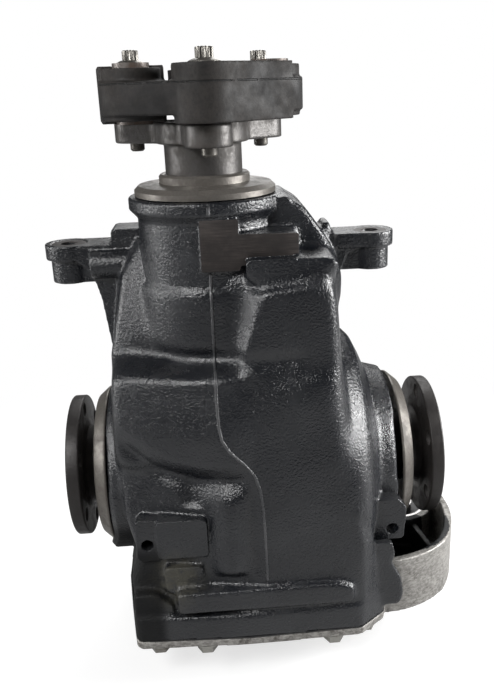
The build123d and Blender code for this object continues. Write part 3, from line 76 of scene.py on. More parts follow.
class Side(Enum):
    """The two outputs, with their direction along X."""

    LEFT = -1
    RIGHT = 1


# Finishes


class Shader:
    """Node material under construction, with short calls for the nodes that castings and steel need."""

    def __init__(self, name: str) -> None:
        """Start an empty Principled material.

        Args:
            name: Name of the material.
        """
        self.material = bpy.data.materials.new(name)
        self.material.use_nodes = True
        self.nodes = self.material.node_tree.nodes
        self.links = self.material.node_tree.links
        self.principled = self.nodes["Principled BSDF"]
        self.place = self.nodes.new("ShaderNodeTexCoord").outputs["Object"]

    def set(self, socket: str, value: float | Sequence[float] | bpy.types.NodeSocket) -> None:
        """Give one socket of the Principled shader a value or a link."""
        self.feed(self.principled.inputs[socket], value)

    def feed(self, target: bpy.types.NodeSocket,
             value: float | Sequence[float] | bpy.types.NodeSocket) -> None:
        """Link a socket or write its value.

        Args:
            target: Input socket that takes the value.
            value: Number, colour, vector or output socket.
        """
        if isinstance(value, bpy.types.NodeSocket):
            self.links.new(value, target)
        elif isinstance(value, (tuple, list)) and target.type == "RGBA":
            target.default_value = (*value[:3], 1.0)
        else:
            target.default_value = value

    def noise(self, scale: float, detail: float = 3.0, rough: float = 0.5,
              place: bpy.types.NodeSocket | None = None) -> bpy.types.NodeSocket:
        """Noise value in the piece's own space.

        Args:
            scale: Cells per metre.
            detail: Octaves.
            rough: Weight of the finer octaves.
            place: Coordinates, or none for the piece's own.

        Returns:
            Socket with the noise value, about 0.5 on average.
        """
        node = self.nodes.new("ShaderNodeTexNoise")
        self.feed(node.inputs["Vector"], place or self.place)
        self.feed(node.inputs["Scale"], scale)
        self.feed(node.inputs["Detail"], detail)
        self.feed(node.inputs["Roughness"], rough)
        return node.outputs["Fac"]

    def stretched(self, factors: Sequence[float]) -> bpy.types.NodeSocket:
        """Coordinates scaled along each axis, for turned or brushed lines.

        Args:
            factors: Scale along X, Y and Z.

        Returns:
            Socket with the scaled coordinates.
        """
        node = self.nodes.new("ShaderNodeMapping")
        self.feed(node.inputs["Vector"], self.place)
        self.feed(node.inputs["Scale"], factors)
        return node.outputs["Vector"]

    def band(self, value: bpy.types.NodeSocket, low: float, high: float, start: float = 0.0,
             end: float = 1.0) -> bpy.types.NodeSocket:
        """Map a range of a value smoothly to another.

        Args:
            value: Socket that is mapped.
            low: Value that gives start.
            high: Value that gives end.
            start: Result at low.
            end: Result at high.

        Returns:
            Socket with the mapped value.
        """
        node = self.nodes.new("ShaderNodeMapRange")
        node.interpolation_type = "SMOOTHSTEP"
        for key, item in (("Value", value), ("From Min", low), ("From Max", high), ("To Min", start),
                          ("To Max", end)):
            self.feed(node.inputs[key], item)
        return node.outputs["Result"]

    def maths(self, operation: str, a: float | bpy.types.NodeSocket,
              b: float | bpy.types.NodeSocket) -> bpy.types.NodeSocket:
        """Work out one operation on two values.

        Args:
            operation: Blender's name of the operation.
            a: First value.
            b: Second value.

        Returns:
            Socket with the result.
        """
        node = self.nodes.new("ShaderNodeMath")
        node.operation = operation
        self.feed(node.inputs[0], a)
        self.feed(node.inputs[1], b)
        return node.outputs[0]

    def blend(self, share: bpy.types.NodeSocket, a: Colour | bpy.types.NodeSocket,
              b: Colour | bpy.types.NodeSocket) -> bpy.types.NodeSocket:
        """Mix two colours by a share.

        Args:
            share: Socket from 0, all a, to 1, all b.
            a: First colour.
            b: Second colour.

        Returns:
            Socket with the mixed colour.
        """
        node = self.nodes.new("ShaderNodeMix")
        node.data_type = "RGBA"
        self.feed(node.inputs[0], share)
        self.feed(node.inputs[6], a)
        self.feed(node.inputs[7], b)
        return node.outputs[2]

    def facing(self, axis: int) -> bpy.types.NodeSocket:
        """Part of the surface direction that points along an axis of the piece, from -1 to 1."""
        coordinates = self.nodes.new("ShaderNodeTexCoord")
        parts = self.nodes.new("ShaderNodeSeparateXYZ")
        self.links.new(coordinates.outputs["Normal"], parts.inputs[0])
        return parts.outputs[axis]

    def height(self, axis: int = 2) -> bpy.types.NodeSocket:
        """Coordinate of the surface along an axis of the piece, in metres."""
        parts = self.nodes.new("ShaderNodeSeparateXYZ")
        self.links.new(self.place, parts.inputs[0])
        return parts.outputs[axis]

    def away_from(self, middle: Vector, place: bpy.types.NodeSocket | None = None) -> bpy.types.NodeSocket:
        """Distance of the surface from a point of the piece.

        Args:
            middle: The point.
            place: Coordinates, or none for the piece's own.

        Returns:
            Socket with the distance in metres.
        """
        away = self.nodes.new("ShaderNodeVectorMath")
        away.operation = "DISTANCE"
        self.feed(away.inputs[0], place or self.place)
        self.feed(away.inputs[1], middle)
        return away.outputs["Value"]

    def worn(self) -> bpy.types.NodeSocket:
        """Pointiness of the surface, high on outer edges and low in corners."""
        return self.nodes.new("ShaderNodeNewGeometry").outputs["Pointiness"]

    def emboss(self, value: bpy.types.NodeSocket, depth: float, strength: float = 1.0) -> None:
        """Add a bump to those that the surface already has.

        Args:
            value: Height pattern, about 0 to 1.
            depth: Height of the pattern in metres.
            strength: Share of the bump that shows.
        """
        node = self.nodes.new("ShaderNodeBump")
        self.feed(node.inputs["Height"], value)
        self.feed(node.inputs["Distance"], depth)
        self.feed(node.inputs["Strength"], strength)
        before = self.principled.inputs["Normal"].links
        if before:
            self.links.new(before[0].from_socket, node.inputs["Normal"])
        self.links.new(node.outputs["Normal"], self.principled.inputs["Normal"])


@dataclass(frozen=True)
class PaintedCasting:
    """Satin black paint over sand-cast iron: its edges lighter where the paint is worn and as a painted
    highlight, dirty beside the lower left lug, and darker and duller at the lower left end.
    """

    slot: str = "cast_housing"
    paint: Colour = (0.0042, 0.0051, 0.0077)
    faded: Colour = (0.012, 0.0132, 0.0160)
    rubbed_and_highlight: Colour = (0.026, 0.027, 0.030)
    dust: Colour = (0.045, 0.044, 0.042)
    dirt: Colour = (0.050, 0.047, 0.034)
    lower_left_dark: Colour = (0.004, 0.004, 0.004)
    rust: Colour = (0.055, 0.030, 0.018)
    grain: float = 620.0
    dirt_middle: Vector = Vector((-0.038, -0.062, 0.090))
    dirt_core: float = 0.012
    dirt_reach: float = 0.030
    lower_left_side: Span = (-0.040, -0.052)
    lower_left_height: Span = (0.125, 0.105)

    def material(self) -> bpy.types.Material:
        """Build the material.

        Returns:
            The finished material.
        """
        s = Shader("black_paint_on_casting")
        colour = s.blend(s.band(s.noise(16.0, 4.0, 0.6), 0.4, 0.68), self.paint, self.faded)
        settled = s.maths("MULTIPLY", s.band(s.facing(2), 0.8, 1.0, 0.0, 0.5),
                          s.band(s.noise(42.0, 5.0, 0.7), 0.42, 0.7))
        colour = s.blend(settled, colour, self.dust)
        # Convex edges are painted lighter: paint worn thin there, and a painted highlight.
        edges = s.maths("MULTIPLY", s.band(s.worn(), 0.53, 0.60),
                        s.band(s.noise(130.0, 5.0, 0.7), 0.32, 0.62))
        colour = s.blend(edges, colour, self.rubbed_and_highlight)
        near = s.band(s.away_from(self.dirt_middle), self.dirt_core, self.dirt_reach, 1.0, 0.0)
        soiled = s.maths("MULTIPLY", near, s.band(s.noise(110.0, 6.0, 0.75), 0.34, 0.6))
        colour = s.blend(soiled, colour, self.dirt)
        flecks = s.maths("MULTIPLY", s.band(s.noise(190.0, 6.0, 0.75), 0.66, 0.71),
                         s.band(s.noise(9.0, 2.0), 0.5, 0.68))
        # Darker, duller and less glossy at the lower left end of the casting, left of x -40 mm and below 125
        # mm high.
        lower_left = s.maths("MULTIPLY", s.band(s.height(0), *self.lower_left_side),
                        s.band(s.height(2), *self.lower_left_height))
        colour = s.blend(s.maths("MULTIPLY", lower_left, 0.8), colour, self.lower_left_dark)
        s.set("Base Color", s.blend(flecks, colour, self.rust))
        rough = s.band(s.noise(55.0, 4.0, 0.6), 0.3, 0.72, 0.19, 0.32)
        dull = s.maths("MAXIMUM", s.maths("MAXIMUM", flecks, soiled), s.maths("MAXIMUM", settled, lower_left))
        dull = s.maths("MULTIPLY", dull, 0.4)
        s.set("Roughness", s.maths("ADD", rough, dull))
        s.set("Specular IOR Level", s.band(lower_left, 0.0, 1.0, 0.78, 0.3))
        s.emboss(s.noise(45.0, 2.0), 0.7 * MM, 0.25)
        s.emboss(s.noise(self.grain, 2.0, 0.5), 0.62 * MM, 1.0)
        s.emboss(s.noise(1500.0, 2.0, 0.6), 0.18 * MM, 0.9)
        return s.material


@dataclass(frozen=True)
class MilledPad:
    """Milled face of the casting that has browned, with cutter lines along X."""

    slot: str = "cast_housing"
    bright: Colour = (0.075, 0.062, 0.056)
    browned: Colour = (0.026, 0.022, 0.021)

    def material(self) -> bpy.types.Material:
        """Build the material.

        Returns:
            The finished material.
        """
        s = Shader("milled_iron")
        lines = s.noise(1.0, 5.0, 0.7, s.stretched((60.0, 900.0, 1500.0)))
        patches = s.band(s.noise(45.0, 5.0, 0.65), 0.38, 0.68)
        colour = s.blend(s.band(lines, 0.35, 0.75), self.browned, self.bright)
        s.set("Base Color", s.blend(patches, self.browned, colour))
        s.set("Metallic", 0.35)
        s.set("Roughness", s.band(lines, 0.3, 0.7, 0.45, 0.65))
        s.emboss(lines, 0.10 * MM, 0.7)
        return s.material


@dataclass(frozen=True)
class RawAluminium:
    """Rough die casting with dirt stains, painted shade in its hollows, and black paint inside the mounting
    lobe.
    """

    slot: str = "cast_cover"
    metal: Colour = (0.25, 0.24, 0.225)
    pale: Colour = (0.46, 0.445, 0.42)
    grime_and_shade: Colour = (0.085, 0.075, 0.065)
    paint: Colour = (0.010, 0.0105, 0.012)
    lobe_middle: Vector = Vector((0.140, 0.0, 0.0))
    painted_radius: float = 0.0440
    painted_above: float = 0.0386

    def material(self) -> bpy.types.Material:
        """Build the material.

        Returns:
            The finished material.
        """
        s = Shader("rough_aluminium")
        brushed = s.noise(1.0, 4.0, 0.7, s.stretched((260.0, 260.0, 520.0)))
        colour = s.blend(s.band(brushed, 0.35, 0.68), self.metal, self.pale)
        marks = s.band(s.noise(170.0, 6.0, 0.8), 0.48, 0.66, 0.0, 0.85)
        # Dirt stains in noise patches, and painted shade in the hollows where pointiness is low.
        stains_and_hollow_shade = s.maths("MAXIMUM", s.maths("MULTIPLY", marks, s.band(s.noise(16.0, 3.0), 0.36, 0.6)),
                         s.band(s.worn(), 0.44, 0.5, 0.85, 0.0))
        colour = s.blend(stains_and_hollow_shade, colour, self.grime_and_shade)
        away = s.away_from(self.lobe_middle, s.stretched((1.0, 1.0, 0.0)))
        ragged = s.maths("ADD", away, s.band(s.noise(300.0, 4.0), 0.3, 0.7, -0.6 * MM, 0.6 * MM))
        inside = s.band(ragged, self.painted_radius - 0.3 * MM, self.painted_radius + 0.3 * MM, 1.0, 0.0)
        painted = s.maths("MULTIPLY", inside,
                          s.band(s.height(), self.painted_above, self.painted_above + 0.4 * MM))
        s.set("Base Color", s.blend(painted, colour, self.paint))
        s.set("Metallic", s.band(painted, 0.0, 1.0, 0.55, 0.0))
        s.set("Roughness", s.band(s.noise(90.0, 4.0), 0.3, 0.7, 0.42, 0.62))
        s.emboss(s.noise(90.0, 3.0), 0.5 * MM, 0.4)
        s.emboss(s.noise(800.0, 4.0, 0.7), 0.26 * MM, 0.9)
        return s.material


@dataclass(frozen=True)
class Steel:
    """Steel with dirt or rust; the fields set how bright, how rough and how dirty it is."""

    slot: str
    name: str
    metal: Colour = (0.40, 0.39, 0.37)
    dirt: Colour = (0.12, 0.085, 0.06)
    dirt_share: float = 0.5
    rough: tuple[float, float] = (0.32, 0.55)
    metallic: float = 0.9
    grain: float = 700.0
    depth: float = 0.06

    def material(self) -> bpy.types.Material:
        """Build the material.

        Returns:
            The finished material.
        """
        s = Shader(self.name)
        spread = s.band(s.noise(70.0, 6.0, 0.7), 0.62 - 0.3 * self.dirt_share, 0.8 - 0.3 * self.dirt_share)
        flecks = s.band(s.noise(420.0, 5.0, 0.75), 0.5, 0.66, 0.0, 0.75 * self.dirt_share)
        share = s.maths("MAXIMUM", s.maths("MULTIPLY", spread, min(1.0, 1.3 * self.dirt_share)), flecks)
        s.set("Base Color", s.blend(share, self.metal, self.dirt))
        s.set("Metallic", s.band(share, 0.0, 1.0, self.metallic, self.metallic * 0.25))
        s.set("Roughness", s.band(share, 0.0, 1.0, *self.rough))
        s.emboss(s.noise(self.grain, 4.0, 0.7), self.depth * MM, 0.8)
        return s.material


@dataclass(frozen=True)
class DustyRubber:
    """Reinforced rubber of the coupling: grey-brown dust, scuffs and a dark parting line."""

    slot: str = "disc_rubber"
    rubber: Colour = (0.008, 0.0078, 0.0082)
    dust: Colour = (0.032, 0.028, 0.025)
    line: Colour = (0.008, 0.008, 0.008)
    parting: float = 0.4312

    def material(self) -> bpy.types.Material:
        """Build the material.

        Returns:
            The finished material.
        """
        s = Shader("dusty_rubber")
        share = s.maths("MULTIPLY", s.band(s.noise(30.0, 5.0, 0.65), 0.3, 0.62, 0.1, 0.85),
                        s.band(s.noise(500.0, 4.0, 0.7), 0.28, 0.62, 0.45, 1.0))
        colour = s.blend(share, self.rubber, self.dust)
        away = s.maths("ABSOLUTE", s.maths("SUBTRACT", s.height(), self.parting), 0.0)
        line = s.maths("MULTIPLY", s.band(away, 0.25 * MM, 0.7 * MM, 1.0, 0.0),
                       s.band(s.noise(260.0, 3.0), 0.34, 0.5))
        s.set("Base Color", s.blend(line, colour, self.line))
        s.set("Roughness", s.band(s.noise(80.0, 4.0), 0.3, 0.7, 0.55, 0.8))
        s.set("Specular IOR Level", 0.3)
        s.emboss(s.noise(45.0, 3.0), 1.2 * MM, 0.35)
        s.emboss(s.noise(620.0, 4.0, 0.75), 0.22 * MM, 0.8)
        s.emboss(s.maths("MULTIPLY", line, -1.0), 0.5 * MM, 1.0)
        return s.material


@dataclass(frozen=True)
class Soft:
    """Rubber, fibre or plastic of the smaller pieces."""

    slot: str
    name: str
    tone: Colour = (0.022, 0.022, 0.023)
    worn: Colour = (0.05, 0.048, 0.045)
    rough: tuple[float, float] = (0.45, 0.7)

    def material(self) -> bpy.types.Material:
        """Build the material.

        Returns:
            The finished material.
        """
        s = Shader(self.name)
        share = s.band(s.noise(120.0, 5.0, 0.65), 0.38, 0.7)
        s.set("Base Color", s.blend(share, self.tone, self.worn))
        s.set("Roughness", s.band(share, 0.0, 1.0, *self.rough))
        s.emboss(s.noise(900.0, 3.0, 0.6), 0.06 * MM, 0.6)
        return s.material


# Mesh work


def link(name: str, mesh: bpy.types.Mesh) -> bpy.types.Object:
    """Put a mesh into the scene as an object of that name."""
    mesh.name = name
    piece = bpy.data.objects.new(name, mesh)
    bpy.context.scene.collection.objects.link(piece)
    return piece


def shaded(piece: bpy.types.Object, angle: float | None = SHARP_ANGLE) -> bpy.types.Object:
    """Shade a piece smooth, with edges kept sharp above an angle in degrees, or none kept."""
    mesh = piece.data
    mesh.polygons.foreach_set("use_smooth", [True] * len(mesh.polygons))
    if angle is not None:
        mesh.set_sharp_from_angle(angle=math.radians(angle))
    mesh.update()
    return piece


def settled(piece: bpy.types.Object) -> bpy.types.Object:
    """Apply the modifiers of a piece to its mesh."""
    graph = bpy.context.evaluated_depsgraph_get()
    mesh = bpy.data.meshes.new_from_object(piece.evaluated_get(graph))
    piece.modifiers.clear()
    piece.data = mesh
    return piece


def cad_copy(name: str, node: str) -> bpy.types.Object:
    """Copy a CAD node into a mesh with its vertices joined.

    Args:
        name: Name of the new piece.
        node: CAD node that is copied.

    Returns:
        The new piece, not yet replacing anything.
    """
    work = bmesh.new()
    work.from_mesh(frame["nodes"][node].data)
    bmesh.ops.remove_doubles(work, verts=work.verts, dist=0.002 * MM)
    mesh = bpy.data.meshes.new(name)
    work.to_mesh(mesh)
    work.free()
    return link(name, mesh)


def eased(outline: Outline, radius: float, steps: int = 3) -> list[tuple[float, float]]:
    """Round the corners of a closed outline.

    Args:
        outline: Corner points.
        radius: Size of the rounding, less where an edge is short.
        steps: Segments of each rounding.

    Returns:
        Points of the rounded outline.
    """
    points: list[tuple[float, float]] = []
    count = len(outline)
    for index, corner in enumerate(outline):
        here = Vector(corner)
        before = Vector(outline[index - 1]) - here
        after = Vector(outline[(index + 1) % count]) - here
        reach = min(radius, before.length * 0.45, after.length * 0.45)
        if here.y < 1e-7 or reach < 1e-7:
            points.append(tuple(here))
            continue
        a, b = here + before.normalized() * reach, here + after.normalized() * reach
        for step in range(steps + 1):
            t = step / steps
            points.append(tuple(a * (1 - t) ** 2 + here * 2 * t * (1 - t) + b * t**2))
    return points


@dataclass(frozen=True)
class Spindle:
    """Axis that turned pieces are made on."""

    origin: Vector
    along: Vector
    out: Vector

    def skinned(self, name: str, rings: np.ndarray, segments: int, angle: float | None,
                radii: Callable[[np.ndarray], np.ndarray] | None = None) -> bpy.types.Object:
        """Lay a skin over rings about the axis.

        Args:
            name: Name of the piece.
            rings: Reach along the axis and radius of each ring.
            segments: Facets round the axis.
            angle: Angle above which edges stay sharp.
            radii: Gives the change of the radius at each turn, taken times the third column.

        Returns:
            The closed piece.
        """
        turns = np.linspace(0, 2 * math.pi, segments, endpoint=False)
        along, out = np.array(self.along), np.array(self.out)
        side = np.cross(along, out)
        spokes = np.cos(turns)[:, None] * out + np.sin(turns)[:, None] * side
        wide = np.broadcast_to(rings[None, :, 1], (segments, len(rings)))
        if radii is not None:
            wide = wide + rings[None, :, 2] * radii(turns)[:, None]
        grid = np.array(self.origin) + rings[None, :, 0, None] * along + wide[:, :, None] * spokes[:, None, :]
        rows = len(rings)
        faces = [(i * rows + j, i * rows + (j + 1) % rows, (i + 1) % segments * rows + (j + 1) % rows,
                  (i + 1) % segments * rows + j) for i in range(segments) for j in range(rows)]
        mesh = bpy.data.meshes.new(name)
        mesh.from_pydata(grid.reshape(-1, 3).tolist(), [], faces)
        work = bmesh.new()
        work.from_mesh(mesh)
        bmesh.ops.remove_doubles(work, verts=work.verts, dist=0.001 * MM)
        bmesh.ops.recalc_face_normals(work, faces=work.faces)
        work.to_mesh(mesh)
        work.free()
        return shaded(link(name, mesh), angle)

    def turned(self, name: str, outline: Outline, segments: int, ease: float) -> bpy.types.Object:
        """Turn a closed outline about the axis.

        Args:
            name: Name of the piece.
            outline: Points of reach along the axis and radius.
            segments: Facets round the axis.
            ease: Rounding of the outline's corners.

        Returns:
            The turned piece.
        """
        return self.skinned(name, np.array(eased(outline, ease)), segments, SHARP_ANGLE)

    def splined(self, name: str, low: float, high: float, radius: float, depth: float) -> bpy.types.Object:
        """Make a bolt's head with twelve rounded splines and a dish in its end.

        Args:
            name: Name of the piece.
            low: Reach of its foot along the axis.
            high: Reach of its end.
            radius: Largest radius.
            depth: Height of the splines.

        Returns:
            The head.
        """
        middle, wave = radius - depth / 2, depth / 2
        rings = np.array([
            (low, 0, 0), (low, middle, wave), (high - 0.9 * MM, middle, wave),
            (high - 0.3 * MM, middle - 0.3 * MM, wave), (high, middle - 1.0 * MM, wave * 0.3),
            (high, radius * 0.62, 0), (high - 0.7 * MM, radius * 0.5, 0), (high - 0.9 * MM, 0, 0)])
        return self.skinned(name, rings, 144, 40.0, lambda turns: np.cos(12 * turns))


OUTPUT = {
    side: Spindle(Vector((0, HYPOID_OFFSET, OUTPUT_HEIGHT)), Vector((side.value, 0, 0)), Vector((0, 0, 1)))
    for side in Side}


def bevelled(piece: bpy.types.Object, width: float) -> bpy.types.Object:
    """Bevel the sharp edges of a piece.

    Args:
        piece: Piece that is bevelled in place.
        width: Width of the bevel in metres.

    Returns:
        The same piece.
    """
    work = bmesh.new()
    work.from_mesh(piece.data)
    bmesh.ops.dissolve_limit(work, angle_limit=math.radians(0.6), verts=work.verts, edges=work.edges)
    work.to_mesh(piece.data)
    work.free()
    cut = piece.modifiers.new("bevel", "BEVEL")
    cut.width, cut.segments = width, 2
    cut.limit_method, cut.angle_limit = "ANGLE", math.radians(30.0)
    cut.use_clamp_overlap = True
    cut.harden_normals = False
    settled(piece)
    return shaded(piece, 38.0)


def plate(name: str, outline: Outline, face: float, thickness: float, ease: float) -> bpy.types.Object:
    """Make an upright plate from an outline of x and z.

    Args:
        name: Name of the piece.
        outline: Corners, counter-clockwise as seen from the front.
        face: Depth y of the front face.
        thickness: How far the plate runs back.
        ease: Rounding of the corners.

    Returns:
        The plate with bevelled edges.
    """
    corners = eased(outline, ease, 4)
    count = len(corners)
    points = [(x, y, z) for y in (face, face + thickness) for x, z in corners]
    sides = [(k, k + count, (k + 1) % count + count, (k + 1) % count) for k in range(count)]
    mesh = bpy.data.meshes.new(name)
    mesh.from_pydata(points, [], [tuple(range(count)), tuple(range(2 * count - 1, count - 1, -1)), *sides])
    work = bmesh.new()
    work.from_mesh(mesh)
    bmesh.ops.recalc_face_normals(work, faces=work.faces)
    work.to_mesh(mesh)
    work.free()
    return bevelled(link(name, mesh), 0.35 * MM)


def drilled(piece: bpy.types.Object, cutters: Sequence[bpy.types.Object]) -> bpy.types.Object:
    """Cut pieces out of a piece and delete the cutters.

    Args:
        piece: Piece that is cut.
        cutters: Closed pieces that are taken away from it.

    Returns:
        The same piece.
    """
    for cutter in cutters:
        cut = piece.modifiers.new("cut", "BOOLEAN")
        cut.operation, cut.object, cut.solver = "DIFFERENCE", cutter, "EXACT"
        settled(piece)
        bpy.data.objects.remove(cutter)
    return piece


class Neighbours:
    """Edges of a mesh, kept for the mean place of each point's neighbours."""

    def __init__(self, mesh: bpy.types.Mesh) -> None:
        """Read the edges.

        Args:
            mesh: Mesh whose points are smoothed.
        """
        edges = np.empty(len(mesh.edges) * 2, int)
        mesh.edges.foreach_get("vertices", edges)
        self.first, self.second = edges.reshape(-1, 2).T
        self.count = len(mesh.vertices)
        self.near = (np.bincount(self.first, minlength=self.count)
                     + np.bincount(self.second, minlength=self.count))

    def mean(self, points: np.ndarray) -> np.ndarray:
        """Mean place of each point's neighbours.

        Args:
            points: Places of the mesh's points, one row each.

        Returns:
            Mean places, one row each.
        """
        a, b = self.first, self.second
        sums = [np.bincount(a, points[b, k], self.count) + np.bincount(b, points[a, k], self.count)
                for k in range(3)]
        return np.stack([total / self.near for total in sums], axis=1)


def relaxed(piece: bpy.types.Object, rounds: int) -> bpy.types.Object:
    """Smooth a mesh without shrinking it, as cast corners are soft.

    Args:
        piece: Piece that is smoothed in place.
        rounds: Pairs of smoothing steps, one in and one out.

    Returns:
        The same piece.
    """
    around = Neighbours(piece.data)
    points = places(piece.data)
    for size in (0.5, -0.52) * rounds:
        points = points + (around.mean(points) - points) * size
    moved(piece.data, points)
    return piece


def softened(piece: bpy.types.Object, rounds: int, freedom: np.ndarray) -> None:
    """Round the corners of a mesh where its points are free.

    Args:
        piece: Piece that is smoothed in place.
        rounds: Smoothing steps.
        freedom: Share of each point from 0, fixed, to 1.
    """
    around = Neighbours(piece.data)
    points = places(piece.data)
    for _ in range(rounds):
        points = points + (around.mean(points) - points) * 0.6 * freedom[:, None]
    moved(piece.data, points)


def places(mesh: bpy.types.Mesh) -> np.ndarray:
    """Places of a mesh's points, one row each."""
    points = np.empty(len(mesh.vertices) * 3)
    mesh.vertices.foreach_get("co", points)
    return points.reshape(-1, 3)


def moved(mesh: bpy.types.Mesh, points: np.ndarray) -> None:
    """Put a mesh's points at new places."""
    mesh.vertices.foreach_set("co", points.ravel())
    mesh.update()


def directions(mesh: bpy.types.Mesh) -> np.ndarray:
    """Normals of a mesh's points, one row each."""
    normals = np.empty(len(mesh.vertices) * 3)
    mesh.vertices.foreach_get("normal", normals)
    return normals.reshape(-1, 3)


def ramp(value: np.ndarray, low: float, high: float) -> np.ndarray:
    """Smooth step from 0 at low to 1 at high, which may lie below it."""
    share = np.clip((value - low) / (high - low), 0, 1)
    return share * share * (3 - 2 * share)


def hump(value: np.ndarray, middle: float, width: float) -> np.ndarray:
    """Bell curve of a half width about a middle."""
    return np.exp(-((value - middle) / width) ** 2)


def widened(points: np.ndarray) -> np.ndarray:
    """Distance that the lower left end of the housing and its cover stands further out, in metres."""
    return 6 * MM * ramp(points[:, 0], -40 * MM, -60 * MM) * ramp(points[:, 2], 108 * MM, 84 * MM)


def cast_skin(name: str, node: str, voxel: float, rounds: int) -> bpy.types.Object:
    """Grow one even skin over a CAD node and soften its corners.

    Args:
        name: Name of the skin.
        node: CAD node that it is grown on.
        voxel: Size of the skin's faces in metres.
        rounds: Pairs of smoothing steps.

    Returns:
        The skin, not yet replacing the node.
    """
    skin = cad_copy(name, node)
    grow = skin.modifiers.new("grow", "REMESH")
    grow.mode, grow.voxel_size, grow.adaptivity = "VOXEL", voxel, 0.0
    return relaxed(settled(skin), rounds)


def joined(name: str, pieces: Sequence[bpy.types.Object]) -> bpy.types.Object:
    """Put the meshes of several pieces into one.

    Args:
        name: Name of the result.
        pieces: Pieces that are used up.

    Returns:
        The joined piece.
    """
    work = bmesh.new()
    for piece in pieces:
        work.from_mesh(piece.data)
        bpy.data.objects.remove(piece)
    mesh = bpy.data.meshes.new(name)
    work.to_mesh(mesh)
    work.free()
    return shaded(link(name, mesh))


def finished(piece: bpy.types.Object, body: Body, finish: "Finish", replaces: Sequence[str] = ()) -> None:
    """Give a piece its finish, the body that it rides on and the CAD nodes that it stands for.

    Args:
        piece: Piece with its last shape.
        body: Body that it moves with.
        finish: Finish that it takes.
        replaces: CAD nodes that it stands for.
    """
    piece.data.materials.clear()
    piece.data.materials.append(finish.material())
    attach(piece, body.value)
    if replaces:
        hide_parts(*replaces)
    report.info("%s: %d faces", piece.name, len(piece.data.polygons))


Finish = PaintedCasting | MilledPad | RawAluminium | Steel | DustyRubber | Soft


# Sub-assemblies


